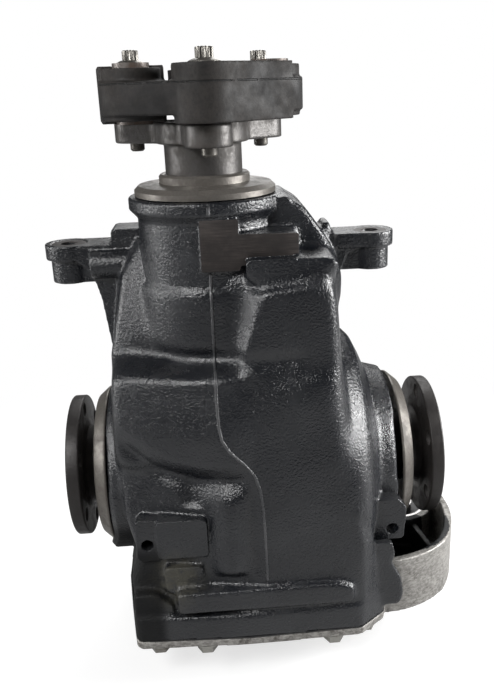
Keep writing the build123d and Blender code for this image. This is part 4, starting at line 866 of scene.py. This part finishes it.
@dataclass
class HousingCasting:
    """Main casting with its parting line.

    Values given with MM are in metres. The others are in millimetres from the pinion's axis, with heights
    from the output axis. A span named line or level is the middle and the half width of a ridge or groove,
    and one named turn or facing is a part of the surface's direction. Every other span is the stretch over
    which a form comes in, from its first value, where there is none of it, to its second.
    """

    voxel: float = 1.0 * MM
    draft_voxel: float = 2.4 * MM
    rounds: int = 5
    soft_rounds: int = 36
    wing_rounds: int = 60
    edge_rounds: int = 110
    shelf_rounds: int = 40
    last_rounds: int = 12

    front_depth: Span = (-14, -26)
    front_low: Span = (-49, -42)
    front_high: Span = (163, 154)
    front_turn: Span = (0.4, 0.1)
    drum_left: Span = (20, 26)
    drum_rise: float = 14
    left_lug_side: Span = (-6, -12)
    left_lug_top: Span = (9, 3)
    right_lug_side: Span = (90, 95)
    right_lug_top: Span = (6, -1)
    back_depth: Span = (44, 58)
    back_left: Span = (-70, -60)
    back_right: Span = (110, 100)
    back_low: Span = (-72, -64)
    back_high: Span = (190, 180)
    back_turn: Span = (-0.4, -0.1)

    wing_left: Span = (55, 60)
    wing_right: Span = (96, 90)
    wing_low: Span = (160, 168)
    foot_depth: Span = (-58, -64)
    foot_high: Span = (-40, -46)
    foot_low: Span = (-93, -88)
    foot_share: float = 0.4
    edge_reach: Span = (16, 9)
    right_edge: Outline = (
        (82.4, 163), (85, 125), (86.3, 98), (87.5, 78), (90.5, 63), (96, 39), (101, 15), (106, -17.5),
        (111, -53))

    front_facing: Span = (0.15, 0.5)
    belly_height: float = 5.5
    belly_left: float = -77
    belly_width: float = 100
    belly_fullness: float = 0.8
    belly_edge: Span = (-2, 13)
    belly_top: Span = (109, 98)
    belly_line: Outline = (
        (-75, 62), (-68, 56), (-49, 41), (-32, 33), (-11, 29.5), (10, 31), (21, 38), (30, 44))
    hollow_depth: float = 3.8
    hollow_low: Span = (-20, -5)
    hollow_high: Span = (1, -4)
    hollow_left: Span = (-74, -60)
    hollow_right: Span = (24, 6)
    column_height: float = 6.5
    column_line: Span = (3, 11.5)
    column_top: Span = (34, 16)
    column_foot: Span = (-50, -40)
    left_groove_line: Span = (-20, 8)
    left_groove_top: Span = (30, 18)
    right_groove_line: Span = (22, 4.5)
    right_groove_top: Span = (30, 16)
    right_groove_share: float = 0.5
    valley_depth: float = 2.6
    valley_line: Span = (112.5, 5)
    valley_left: Span = (-66, -50)
    valley_right: Span = (66, 50)
    shoulder_height: float = 6.0
    shoulder_line: Span = (103, 4.5)
    shoulder_left: Span = (-77, -62)
    shoulder_right: Span = (32, 6)
    swell_height: float = 2.2
    swell_line: Span = (52, 22)
    swell_level: Span = (86, 17)
    shelf_line: Span = (104, 9)
    shelf_right: Span = (44, 32)
    web_right: Span = (-32, -42)
    web_low: Span = (104, 114)
    web_high: Span = (178, 166)

    bead_radius: float = 1.15 * MM
    bead_rise: float = 0.75
    bead_sides: int = 8
    bead_step: float = 1.5
    probe_depth: float = -300 * MM
    upper_path: Outline = ((1.3, 216), (1.2, 208))
    lower_path: Outline = (
        (0.5, 171), (0.3, 161), (0.1, 120), (-0.1, 82), (0.4, 70), (2.1, 61), (6.5, 53),
        (16.8, 42), (23.6, 32), (26.6, 22), (28.2, 8), (28.7, -7.5), (29.0, -30), (29.1, -52))

    def build(self) -> None:
        """Grow the casting's skin, shape it and lay its parting line on it."""
        skin = cast_skin("housing_casting", "housing", self.voxel, self.rounds)
        self.round_forms(skin)
        self.model_front(skin)
        shaded(skin, None)
        finished(skin, Body.CARRIER, PaintedCasting(), ["housing"])
        self.parting_line(skin, "upper_parting_line", self.upper_path)
        self.parting_line(skin, "lower_parting_line", self.lower_path)

    def coordinates(self, skin: bpy.types.Object) -> np.ndarray:
        """Rows of x, y and height above the output axis of the skin's points, in millimetres."""
        return (places(skin.data) / MM - (0, 0, OUTPUT_HEIGHT / MM)).T

    def soft_zone(self, skin: bpy.types.Object) -> np.ndarray:
        """Share of each point on the soft outer forms, clear of lugs, pads, bores and flange.

        Args:
            skin: Casting.

        Returns:
            Share from 0 to 1 for each point.
        """
        x, y, z = self.coordinates(skin)
        turn = directions(skin.data)[:, 1]
        roof = z - self.drum_rise * ramp(x, *self.drum_left)
        front = ramp(y, *self.front_depth) * ramp(z, *self.front_low) * ramp(roof, *self.front_high)
        left_lug = ramp(x, *self.left_lug_side) * ramp(z, *self.left_lug_top)
        right_lug = ramp(x, *self.right_lug_side) * ramp(z, *self.right_lug_top)
        back = (ramp(y, *self.back_depth) * ramp(x, *self.back_left) * ramp(x, *self.back_right)
                * ramp(z, *self.back_low) * ramp(z, *self.back_high))
        return np.maximum(front * (1 - left_lug) * (1 - right_lug) * ramp(turn, *self.front_turn),
                          back * ramp(turn, *self.back_turn))

    def round_forms(self, skin: bpy.types.Object) -> None:
        """Round the corners of the front, most of all along the right edge of the ring gear's drum.

        Args:
            skin: Casting.
        """
        zone = self.soft_zone(skin)
        softened(skin, self.soft_rounds, zone)
        x, y, z = self.coordinates(skin)
        wing = ramp(x, *self.wing_left) * ramp(x, *self.wing_right) * ramp(z, *self.wing_low)
        foot = ramp(y, *self.foot_depth) * ramp(z, *self.foot_high) * ramp(z, *self.foot_low)
        softened(skin, self.wing_rounds, np.maximum(wing, self.foot_share * foot))
        edge_x = np.interp(z, *zip(*sorted((height, reach) for reach, height in self.right_edge)))
        softened(skin, self.edge_rounds, ramp(np.abs(x - edge_x), *self.edge_reach) * zone)

    def model_front(self, skin: bpy.types.Object) -> None:
        """Bring out the round belly, the column below it and the hollows between them.

        Args:
            skin: Casting.
        """
        facing = ramp(-directions(skin.data)[:, 1], *self.front_facing)
        x, _, z = self.coordinates(skin)
        lift = self.belly(x, z) + self.column(x, z) + self.shelf(x, z)
        points = places(skin.data)
        points[:, 1] -= lift * facing * self.soft_zone(skin) * MM
        points[:, 0] -= widened(points)
        moved(skin.data, points)
        shelf = hump(z, *self.shelf_line) * ramp(x, *self.shelf_right)
        web = ramp(x, *self.web_right) * ramp(z, *self.web_low) * ramp(z, *self.web_high)
        softened(skin, self.shelf_rounds, np.maximum(shelf, web) * self.soft_zone(skin))
        softened(skin, self.last_rounds, self.soft_zone(skin))

    def belly(self, x: np.ndarray, z: np.ndarray) -> np.ndarray:
        """Rise of the belly left of the parting line, and the hollow along its lower edge.

        Args:
            x: Place of each point across.
            z: Height of each point.

        Returns:
            Rise of each point towards the front.
        """
        above = z - np.interp(x, *zip(*self.belly_line))
        across = np.clip((x - self.belly_left) / self.belly_width, 0, 1)
        wide = np.sin(np.pi * across) ** self.belly_fullness
        belly = self.belly_height * wide * ramp(above, *self.belly_edge) * ramp(z, *self.belly_top)
        hollow = (ramp(above, *self.hollow_low) * ramp(above, *self.hollow_high)
                  * ramp(x, *self.hollow_left) * ramp(x, *self.hollow_right))
        return belly - self.hollow_depth * hollow

    def column(self, x: np.ndarray, z: np.ndarray) -> np.ndarray:
        """Rise of the column under the belly, with a groove on each side.

        Args:
            x: Place of each point across.
            z: Height of each point.

        Returns:
            Rise of each point towards the front.
        """
        column = self.column_height * hump(x, *self.column_line) * ramp(z, *self.column_top)
        left = hump(x, *self.left_groove_line) * ramp(z, *self.left_groove_top)
        right = hump(x, *self.right_groove_line) * ramp(z, *self.right_groove_top)
        grooves = self.hollow_depth * (left + self.right_groove_share * right)
        return (column - grooves) * ramp(z, *self.column_foot)

    def shelf(self, x: np.ndarray, z: np.ndarray) -> np.ndarray:
        """Rise of the shoulder under the nose, the valley above it and the swell of the drum beside it.

        Args:
            x: Place of each point across.
            z: Height of each point.

        Returns:
            Rise of each point towards the front.
        """
        valley = hump(z, *self.valley_line) * ramp(x, *self.valley_left) * ramp(x, *self.valley_right)
        shoulder = hump(z, *self.shoulder_line) * ramp(x, *self.shoulder_left) * ramp(x, *self.shoulder_right)
        swell = hump(x, *self.swell_line) * hump(z, *self.swell_level)
        return self.shoulder_height * shoulder - self.valley_depth * valley + self.swell_height * swell

    def parting_line(self, skin: bpy.types.Object, name: str, path: Outline) -> None:
        """Lay the raised line where the two halves of the mould met.

        Args:
            skin: Casting that the line lies on.
            name: Name of the line.
            path: Points of x and height above the output axis.
        """
        centre = self.traced(skin, path)
        sides = self.bead_sides
        vertices, faces = [], []
        for index, (spot, normal) in enumerate(centre):
            ahead = centre[min(index + 1, len(centre) - 1)][0] - centre[max(index - 1, 0)][0]
            across = ahead.cross(normal).normalized()
            for k in range(sides):
                turn = 2 * math.pi * k / sides
                vertices.append(spot + across * math.cos(turn) * self.bead_radius
                                + normal * (math.sin(turn) * self.bead_radius * self.bead_rise))
        for index in range(len(centre) - 1):
            for k in range(sides):
                a, b = index * sides + k, index * sides + (k + 1) % sides
                faces.append((a, b, b + sides, a + sides))
        faces += [tuple(range(sides)), tuple(range(len(vertices) - sides, len(vertices)))]
        mesh = bpy.data.meshes.new(name)
        mesh.from_pydata(vertices, [], faces)
        bead = shaded(link(name, mesh), None)
        relaxed(bead, 3)
        finished(bead, Body.CARRIER, BEAD_HIGHLIGHT_PAINT)

    def traced(self, skin: bpy.types.Object, path: Outline) -> list[tuple[Vector, Vector]]:
        """Drop a path on the front of the casting.

        Args:
            skin: Casting that the path is dropped on.
            path: Points of x and height above the output axis.

        Returns:
            Spots on the skin, each with the skin's normal.
        """
        tree = BVHTree.FromPolygons([v.co for v in skin.data.vertices],
                                    [p.vertices[:] for p in skin.data.polygons])
        spots = []
        for (x0, z0), (x1, z1) in zip(path, path[1:]):
            steps = max(1, int(math.hypot(x1 - x0, z1 - z0) / self.bead_step))
            for k in range(steps):
                x, z = x0 + (x1 - x0) * k / steps, z0 + (z1 - z0) * k / steps
                start = Vector((x * MM, self.probe_depth, OUTPUT_HEIGHT + z * MM))
                hit, normal, *_ = tree.ray_cast(start, Vector((0, 1, 0)))
                if hit:
                    spots.append((hit, normal))
        return spots


@dataclass
class MilledFaces:
    """Milled faces that stand on the casting: the T-shaped pad and the spot faces of the ears."""

    pad: Outline = (
        (-5, 173), (20, 173), (21, 176.5), (25, 176.5), (26, 180), (59, 180), (59, 196.5), (20, 197),
        (20, 207), (-5, 207))
    pad_face: float = -51.3 * MM
    pad_thickness: float = 1.4 * MM
    pad_corner: float = 1.2 * MM
    ears: Outline = ((-103.2, 30.0), (122.6, 30.0))
    spot_height: float = 181.5 * MM
    spot_depth: float = 2.5 * MM
    spot_radius: float = 12.8 * MM
    spot_edge: float = 0.4 * MM
    hole_radius: float = 6.0 * MM

    def build(self) -> None:
        """Build the pad and the rings round the ears' holes."""
        outline = [(x * MM, OUTPUT_HEIGHT + z * MM) for x, z in self.pad]
        pad = plate("milled_pad", outline, self.pad_face, self.pad_thickness, self.pad_corner)
        finished(pad, Body.CARRIER, MilledPad())
        for side, (x, y) in zip(Side, self.ears):
            spindle = Spindle(Vector((x * MM, y * MM, OUTPUT_HEIGHT)), Vector((0, 0, 1)), Vector((1, 0, 0)))
            low, high = self.spot_height - self.spot_depth, self.spot_height
            ring = spindle.turned(f"{side.name.lower()}_ear_face", [
                (low, self.hole_radius), (high, self.hole_radius), (high, self.spot_radius),
                (low, self.spot_radius)], 96, self.spot_edge)
            finished(ring, Body.CARRIER, MilledPad())


@dataclass
class RearCover:
    """Die-cast cover with its dome and lobe."""

    voxel: float = 1.1 * MM
    draft_voxel: float = 2.2 * MM
    rounds: int = 4

    def build(self) -> None:
        """Grow the cover's skin and keep it above the floor."""
        skin = cast_skin("cover_casting", "rear_cover", self.voxel, self.rounds)
        points = places(skin.data)
        points[:, 0] -= widened(points)
        points[:, 2] = np.maximum(points[:, 2], 0.0)
        moved(skin.data, points)
        shaded(skin, None)
        finished(skin, Body.CARRIER, RawAluminium(), ["rear_cover"])


@dataclass
class FlexibleCoupling:
    """Rubber disc and the three-armed flange below it."""

    voxel: float = 0.9 * MM
    draft_voxel: float = 1.6 * MM
    disc_rounds: int = 5
    flange_rounds: int = 4

    def build(self) -> None:
        """Build the disc and the flange."""
        disc = cast_skin("coupling_disc", "flex_disc", self.voxel, self.disc_rounds)
        finished(shaded(disc, None), Body.INPUT, DustyRubber(), ["flex_disc"])
        flange = cast_skin("coupling_flange", "input_flange", self.voxel,
                           self.flange_rounds)
        finished(shaded(flange, None), Body.INPUT, ROUGH_STEEL, ["input_flange"])


@dataclass
class CouplingBolts:
    """Three splined bolts of the flexible coupling, and the washer below the left one."""

    circle: float = 51.0 * MM
    turns: tuple[float, ...] = (-85.3, 34.7, 154.7)
    washed: int = 2
    foot: float = 386.5 * MM
    foot_edge: float = 1.2 * MM
    seat: float = 441.9 * MM
    shank_radius: float = 5.0 * MM
    flange_radius: float = 10.2 * MM
    flange_height: float = 2.6 * MM
    flange_rim: float = 0.9 * MM
    flange_slope: float = 1.2 * MM
    head_radius: float = 5.6 * MM
    head_height: float = 6.6 * MM
    head_sink: float = 0.5 * MM
    spline_depth: float = 0.9 * MM
    washer_radius: float = 12.5 * MM
    washer_height: float = 2.2 * MM
    washer_gap: float = 0.02 * MM

    def build(self) -> None:
        """Build the bolts and the washer."""
        parts = []
        for index, turn in enumerate(self.turns):
            angle = math.radians(turn)
            spot = Vector((self.circle * math.cos(angle), self.circle * math.sin(angle), 0))
            spindle = Spindle(spot, Vector((0, 0, 1)), Vector((math.cos(index), math.sin(index), 0)))
            seat = self.seat
            if index == self.washed:
                self.washer(spindle)
                seat += self.washer_height
            collar = seat + self.flange_height
            parts.append(spindle.turned(f"bolt_{index}", [
                (self.foot, 0), (self.foot, self.shank_radius - self.foot_edge),
                (self.foot + self.foot_edge, self.shank_radius), (seat, self.shank_radius),
                (seat, self.flange_radius), (seat + self.flange_rim, self.flange_radius),
                (collar, self.head_radius + self.flange_slope), (collar, 0)], 96, 0.4 * MM))
            parts.append(spindle.splined(f"head_{index}", collar - self.head_sink, collar + self.head_height,
                                         self.head_radius, self.spline_depth))
        finished(joined("coupling_bolt_set", parts), Body.INPUT, BOLT_STEEL, ["coupling_bolts"])

    def washer(self, spindle: Spindle) -> None:
        """Build the washer.

        Args:
            spindle: Axis of its bolt.
        """
        low, high, bore = self.seat, self.seat + self.washer_height, self.shank_radius + self.washer_gap
        washer = spindle.turned("coupling_washer", [
            (low, bore), (high, bore), (high, self.washer_radius), (low, self.washer_radius)], 96, 0.5 * MM)
        finished(washer, Body.INPUT, WASHER_STEEL, ["coupling_washers"])


@dataclass
class OutputSide:
    """Flange and dust shield of one output."""

    side: Side
    body: Body
    wall: float
    journal_length: float = 12.0 * MM
    wall_gap: float = 0.6 * MM
    first_hole: float = 30.0
    holes: int = 6
    hole_circle: float = 47.0 * MM
    hole_radius: float = 5.25 * MM
    hole_edge: float = 0.7 * MM
    drill_reach: float = 3.0 * MM
    flange_radius: float = 56.0 * MM
    flange_thickness: float = 10.0 * MM
    flange_edge: float = 0.9 * MM
    hub_radius: float = 29.0 * MM
    hub_blend: Outline = ((6.0, 0.0), (1.6, 3.0), (0.0, 8.0))
    journal_radius: float = 24.0 * MM
    pilot_radius: float = 33.0 * MM
    pilot_depth: float = 4.0 * MM
    pilot_draft: float = 1.5 * MM
    centre_radius: float = 12.0 * MM
    centre_floor_radius: float = 9.0 * MM
    centre_depth: float = 7.0 * MM
    shield_rim: float = 62.0 * MM
    shield_bulge: Span = (1.5, 0.4)
    shield_neck: float = 55.5 * MM
    shield_shoulder: float = 0.8 * MM
    neck_round: float = 3.0 * MM
    shield_bore_gap: float = 0.1 * MM
    sheet: float = 2.2 * MM
    neck_step: float = 4.0 * MM
    rim_thickness: float = 2.0 * MM

    def build(self) -> None:
        """Build the flange with its holes, and the shield."""
        self.flange(OUTPUT[self.side])
        self.shield(OUTPUT[self.side])

    def reach(self, node: str) -> list[float]:
        """Inner and outer reach of a CAD node of this side along the output axis."""
        return sorted(abs(corner.x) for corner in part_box(f"{self.side.name.lower()}_{node}"))

    def flange(self, spindle: Spindle) -> None:
        """Build the flange and drill it.

        Args:
            spindle: Axis of the output.
        """
        name = self.side.name.lower()
        outer = self.reach("output_flange")[1]
        inner = outer - self.flange_thickness
        start, face = self.wall - self.journal_length, self.wall + self.wall_gap
        rim = self.flange_radius - self.flange_edge
        blend = [(inner - back * MM, self.hub_radius + out * MM) for back, out in self.hub_blend]
        flange = spindle.turned(f"{name}_flange", [
            (start, 0), (start, self.journal_radius), (face, self.journal_radius), (face, self.hub_radius),
            *blend, (inner, rim), (inner + self.flange_edge, self.flange_radius),
            (outer - self.flange_edge, self.flange_radius), (outer, rim), (outer, self.pilot_radius),
            (outer - self.pilot_depth, self.pilot_radius - self.pilot_draft),
            (outer - self.pilot_depth, self.centre_radius),
            (outer - self.centre_depth, self.centre_floor_radius), (outer - self.centre_depth, 0)],
            160, 0.5 * MM)
        wide = self.hole_radius + self.hole_edge
        cutters = []
        for index in range(self.holes):
            turn = math.radians(self.first_hole + 360 / self.holes * index)
            spot = Vector((0, HYPOID_OFFSET + self.hole_circle * math.cos(turn),
                           OUTPUT_HEIGHT + self.hole_circle * math.sin(turn)))
            drill = Spindle(spot, spindle.along, spindle.out)
            cutters.append(drill.turned(f"drill_{index}", [
                (inner - self.drill_reach, 0), (inner - self.drill_reach, wide), (inner, wide),
                (inner + self.hole_edge, self.hole_radius), (outer - self.hole_edge, self.hole_radius),
                (outer, wide), (outer + self.drill_reach, wide), (outer + self.drill_reach, 0)], 40, 0.0))
        finished(shaded(drilled(flange, cutters)), self.body, FLANGE_STEEL, [f"{name}_output_flange"])

    def shield(self, spindle: Spindle) -> None:
        """Build the dust shield.

        Args:
            spindle: Axis of the output.
        """
        name = self.side.name.lower()
        low, high = self.reach("dust_shield")
        rim, neck, bore = self.shield_rim, self.shield_neck, self.hub_radius + self.shield_bore_gap
        along, out = self.shield_bulge
        shield = spindle.turned(f"{name}_shield", [
            (low, rim), (low + along * MM, rim + out * MM), (high - self.shield_shoulder, neck),
            (high, neck - self.neck_round), (high, bore), (high - self.sheet, bore),
            (high - self.sheet, neck - self.neck_step), (low, rim - self.rim_thickness)], 160, 0.6 * MM)
        finished(shield, self.body, SHEET_STEEL, [f"{name}_dust_shield"])


# Lighter paint on the parting line's bead: a painted highlight.
BEAD_HIGHLIGHT_PAINT = PaintedCasting(paint=(0.03, 0.031, 0.034), faded=(0.075, 0.075, 0.078))
ROUGH_STEEL = Steel("rough_steel", "forged_flange", (0.085, 0.081, 0.078), (0.036, 0.030, 0.025), 0.6,
                    (0.38, 0.6), 0.55, 420.0, 0.30)
FLANGE_STEEL = Steel("flange_steel", "output_flange", (0.034, 0.031, 0.030), (0.018, 0.015, 0.0135), 0.6,
                     (0.42, 0.6), 0.4, 420.0, 0.26)
SHEET_STEEL = Steel("cap_steel", "dull_sheet", (0.165, 0.153, 0.138), (0.070, 0.061, 0.052), 0.6,
                    (0.38, 0.58), 0.6, 620.0, 0.22)
BOLT_STEEL = Steel("bolt_steel", "dirty_plated_bolt", (0.175, 0.167, 0.152), (0.05, 0.043, 0.036), 0.6,
                   (0.34, 0.55), 0.85, 700.0, 0.10)
WASHER_STEEL = Steel("washer_steel", "plated_washer", (0.42, 0.41, 0.38), (0.12, 0.10, 0.08), 0.4,
                     (0.26, 0.5), 0.9, 800.0, 0.08)
RUSTY_SLEEVE = Steel("sleeve_steel", "rusted_sleeve", (0.15, 0.135, 0.125), (0.075, 0.045, 0.03), 0.6,
                     (0.4, 0.7), 0.5, 800.0, 0.12)
ZINC = Steel("zinc_bolts", "zinc_plated", (0.42, 0.41, 0.38), (0.12, 0.1, 0.08), 0.45, (0.3, 0.55), 0.9)
TURNED = Steel("steel", "turned_steel", (0.48, 0.47, 0.46), (0.2, 0.18, 0.16), 0.25, (0.26, 0.42))
SPRING = Steel("spring_steel", "spring_steel", (0.16, 0.165, 0.18), (0.08, 0.07, 0.06), 0.3, (0.3, 0.45))
RACE = Steel("bearing_steel", "ground_bearing_steel", (0.62, 0.62, 0.62), (0.35, 0.33, 0.3), 0.15,
             (0.14, 0.3))
GEAR = Steel("gear_steel", "ground_gear_steel", (0.36, 0.36, 0.37), (0.2, 0.17, 0.13), 0.25, (0.2, 0.38))
CASE_IRON = Steel("case_iron", "case_iron", (0.2, 0.2, 0.2), (0.09, 0.08, 0.07), 0.4, (0.42, 0.6), 0.7,
                  500.0, 0.15)
COPPER = Steel("copper", "soft_washer", (0.62, 0.36, 0.22), (0.2, 0.12, 0.08), 0.35, (0.28, 0.48))
PRESSED_FIBRE = Soft("gasket", "pressed_fibre")
PLASTIC = Soft("black_plastic", "moulded_plastic", (0.02, 0.02, 0.021), (0.035, 0.035, 0.035))
OILED_RUBBER = Soft("seal_rubber", "oiled_rubber", (0.016, 0.016, 0.016), (0.03, 0.029, 0.028), (0.3, 0.5))
BUSH_RUBBER = Soft("bush_rubber", "bush_rubber")


@dataclass
class CarriedNodes:
    """CAD nodes whose shape is kept and whose finish is set here."""

    finishes: tuple[Finish, ...] = (
        PaintedCasting(), RawAluminium(), PRESSED_FIBRE, ZINC, COPPER, PLASTIC, OILED_RUBBER, TURNED, SPRING,
        RACE, BUSH_RUBBER, GEAR, ROUGH_STEEL, SHEET_STEEL, DustyRubber(), RUSTY_SLEEVE, BOLT_STEEL,
        WASHER_STEEL, CASE_IRON, FLANGE_STEEL)
    sharp_angle: float = 32.0

    def build(self) -> None:
        """Set the finish of every CAD node by its record slot."""
        by_slot = {finish.slot: finish for finish in self.finishes}
        made: dict[str, bpy.types.Material] = {}
        for row in frame["record"]["subparts"]:
            slot, node = row["material_slot"], frame["nodes"][row["node"]]
            if slot not in made:
                made[slot] = by_slot[slot].material()
            node.data.materials.clear()
            node.data.materials.append(made[slot])
            shaded(node, self.sharp_angle)
        report.info("%d CAD nodes dressed", len(frame["nodes"]))


@dataclass(frozen=True)
class Lamp:
    """Square soft light: its place and size in metres, its power in watts."""

    name: str
    place: tuple[float, float, float]
    size: float
    power: float


@dataclass
class Studio:
    """Camera at the photograph's angle, soft lights and a pale floor."""

    camera_place: Vector = field(default_factory=lambda: Vector((3.2, -543.2, 427.3)) * MM)
    azimuth: float = -3.8
    elevation: float = 18.8
    roll: float = -1.93
    focal_pixels: float = 766.5
    middle_x: float = 266.8
    frame_width: int = 494
    frame_height: int = 694
    lit_spot: Vector = field(default_factory=lambda: Vector((0.03, 0.0, 0.20)))
    lamps: tuple[Lamp, ...] = (
        Lamp("key", (-0.55, -0.72, 0.95), 0.38, 9.5), Lamp("right", (1.05, -0.10, 0.50), 0.45, 19.0),
        Lamp("left", (-1.05, -0.02, 0.40), 0.4, 4.5), Lamp("rim", (0.2, 0.85, 0.95), 0.8, 8.0))
    surround: float = 0.09
    floor_reach: float = 4.0
    floor_tones: tuple[float, float] = (0.42, 0.45)
    floor_glow: float = 0.66
    white_from: Span = (0.28, 0.62)

    def build(self) -> None:
        """Place the camera, the lights, the world and the floor."""
        bpy.context.scene.view_settings.view_transform = "Standard"
        self.camera()
        self.lights()
        self.world()
        self.floor()

    def camera(self) -> None:
        """Place the camera as it was fitted to the photograph."""
        a, e, r = (math.radians(v) for v in (self.azimuth, self.elevation, self.roll))
        back = Vector((math.sin(a) * math.cos(e), -math.cos(a) * math.cos(e), math.sin(e)))
        level = Vector((math.cos(a), math.sin(a), 0))
        upright = back.cross(level)
        right = level * math.cos(r) + upright * math.sin(r)
        up = upright * math.cos(r) - level * math.sin(r)
        lens = bpy.data.cameras.new("camera")
        lens.sensor_width = 36.0
        lens.lens = self.focal_pixels * lens.sensor_width / self.frame_height
        lens.shift_x = (self.frame_width / 2 - self.middle_x) / self.frame_height
        lens.clip_start, lens.clip_end = 0.05, 20.0
        camera = bpy.data.objects.new("camera", lens)
        bpy.context.scene.collection.objects.link(camera)
        turn = Matrix((right, up, back)).transposed().to_4x4()
        camera.matrix_world = Matrix.Translation(self.camera_place) @ turn
        bpy.context.scene.camera = camera

    def lights(self) -> None:
        """Hang the soft lights."""
        for row in self.lamps:
            lamp = bpy.data.lights.new(row.name, "AREA")
            lamp.shape, lamp.size, lamp.energy = "SQUARE", row.size, row.power
            light = bpy.data.objects.new(row.name, lamp)
            bpy.context.scene.collection.objects.link(light)
            light.location = row.place
            light.rotation_euler = (self.lit_spot - Vector(row.place)).to_track_quat("-Z", "Y").to_euler()

    def world(self) -> None:
        """Surround the scene with plain white that lights far less than it shows."""
        world = bpy.data.worlds.new("studio")
        bpy.context.scene.world = world
        world.use_nodes = True
        nodes, links = world.node_tree.nodes, world.node_tree.links
        background = nodes["Background"]
        path = nodes.new("ShaderNodeLightPath")
        seen = nodes.new("ShaderNodeMath")
        seen.operation = "MAXIMUM"
        links.new(path.outputs["Is Camera Ray"], seen.inputs[0])
        links.new(path.outputs["Is Transmission Ray"], seen.inputs[1])
        level = nodes.new("ShaderNodeMapRange")
        links.new(seen.outputs[0], level.inputs["Value"])
        level.inputs["To Min"].default_value = self.surround
        level.inputs["To Max"].default_value = 1.0
        background.inputs["Color"].default_value = (1, 1, 1, 1)
        links.new(level.outputs["Result"], background.inputs["Strength"])
        links.new(background.outputs[0], nodes["World Output"].inputs[0])

    def floor(self) -> None:
        """Lay a wide pale floor that keeps the object's shadow."""
        mesh = bpy.data.meshes.new("floor")
        far = self.floor_reach
        mesh.from_pydata([(-far, -far, 0), (far, -far, 0), (far, far, 0), (-far, far, 0)], [], [(0, 1, 2, 3)])
        floor = link("floor", mesh)
        s = Shader("pale_floor")
        dark, pale = ((tone, tone, tone) for tone in self.floor_tones)
        s.set("Base Color", s.blend(s.noise(3.0, 2.0), dark, pale))
        s.set("Roughness", 0.9)
        s.set("Specular IOR Level", 0.1)
        seen = s.nodes.new("ShaderNodeLightPath").outputs["Is Camera Ray"]
        s.set("Emission Color", (1, 1, 1))
        s.set("Emission Strength", s.maths("MULTIPLY", seen, self.floor_glow))
        glow = s.nodes.new("ShaderNodeEmission")
        share = s.maths("MULTIPLY", s.band(s.away_from(Vector((0, 0, 0))), *self.white_from), seen)
        mix = s.nodes.new("ShaderNodeMixShader")
        s.links.new(share, mix.inputs[0])
        s.links.new(s.principled.outputs[0], mix.inputs[1])
        s.links.new(glow.outputs[0], mix.inputs[2])
        s.links.new(mix.outputs[0], s.nodes["Material Output"].inputs["Surface"])
        mesh.materials.append(s.material)


def main() -> None:
    """Build the differential's looks."""
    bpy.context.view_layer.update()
    Studio().build()
    CarriedNodes().build()
    HousingCasting().build()
    MilledFaces().build()
    RearCover().build()
    FlexibleCoupling().build()
    CouplingBolts().build()
    OutputSide(Side.LEFT, Body.LEFT_OUTPUT, 84.0 * MM).build()
    OutputSide(Side.RIGHT, Body.RIGHT_OUTPUT, 133.0 * MM).build()


if __name__ == "__main__":
    main()
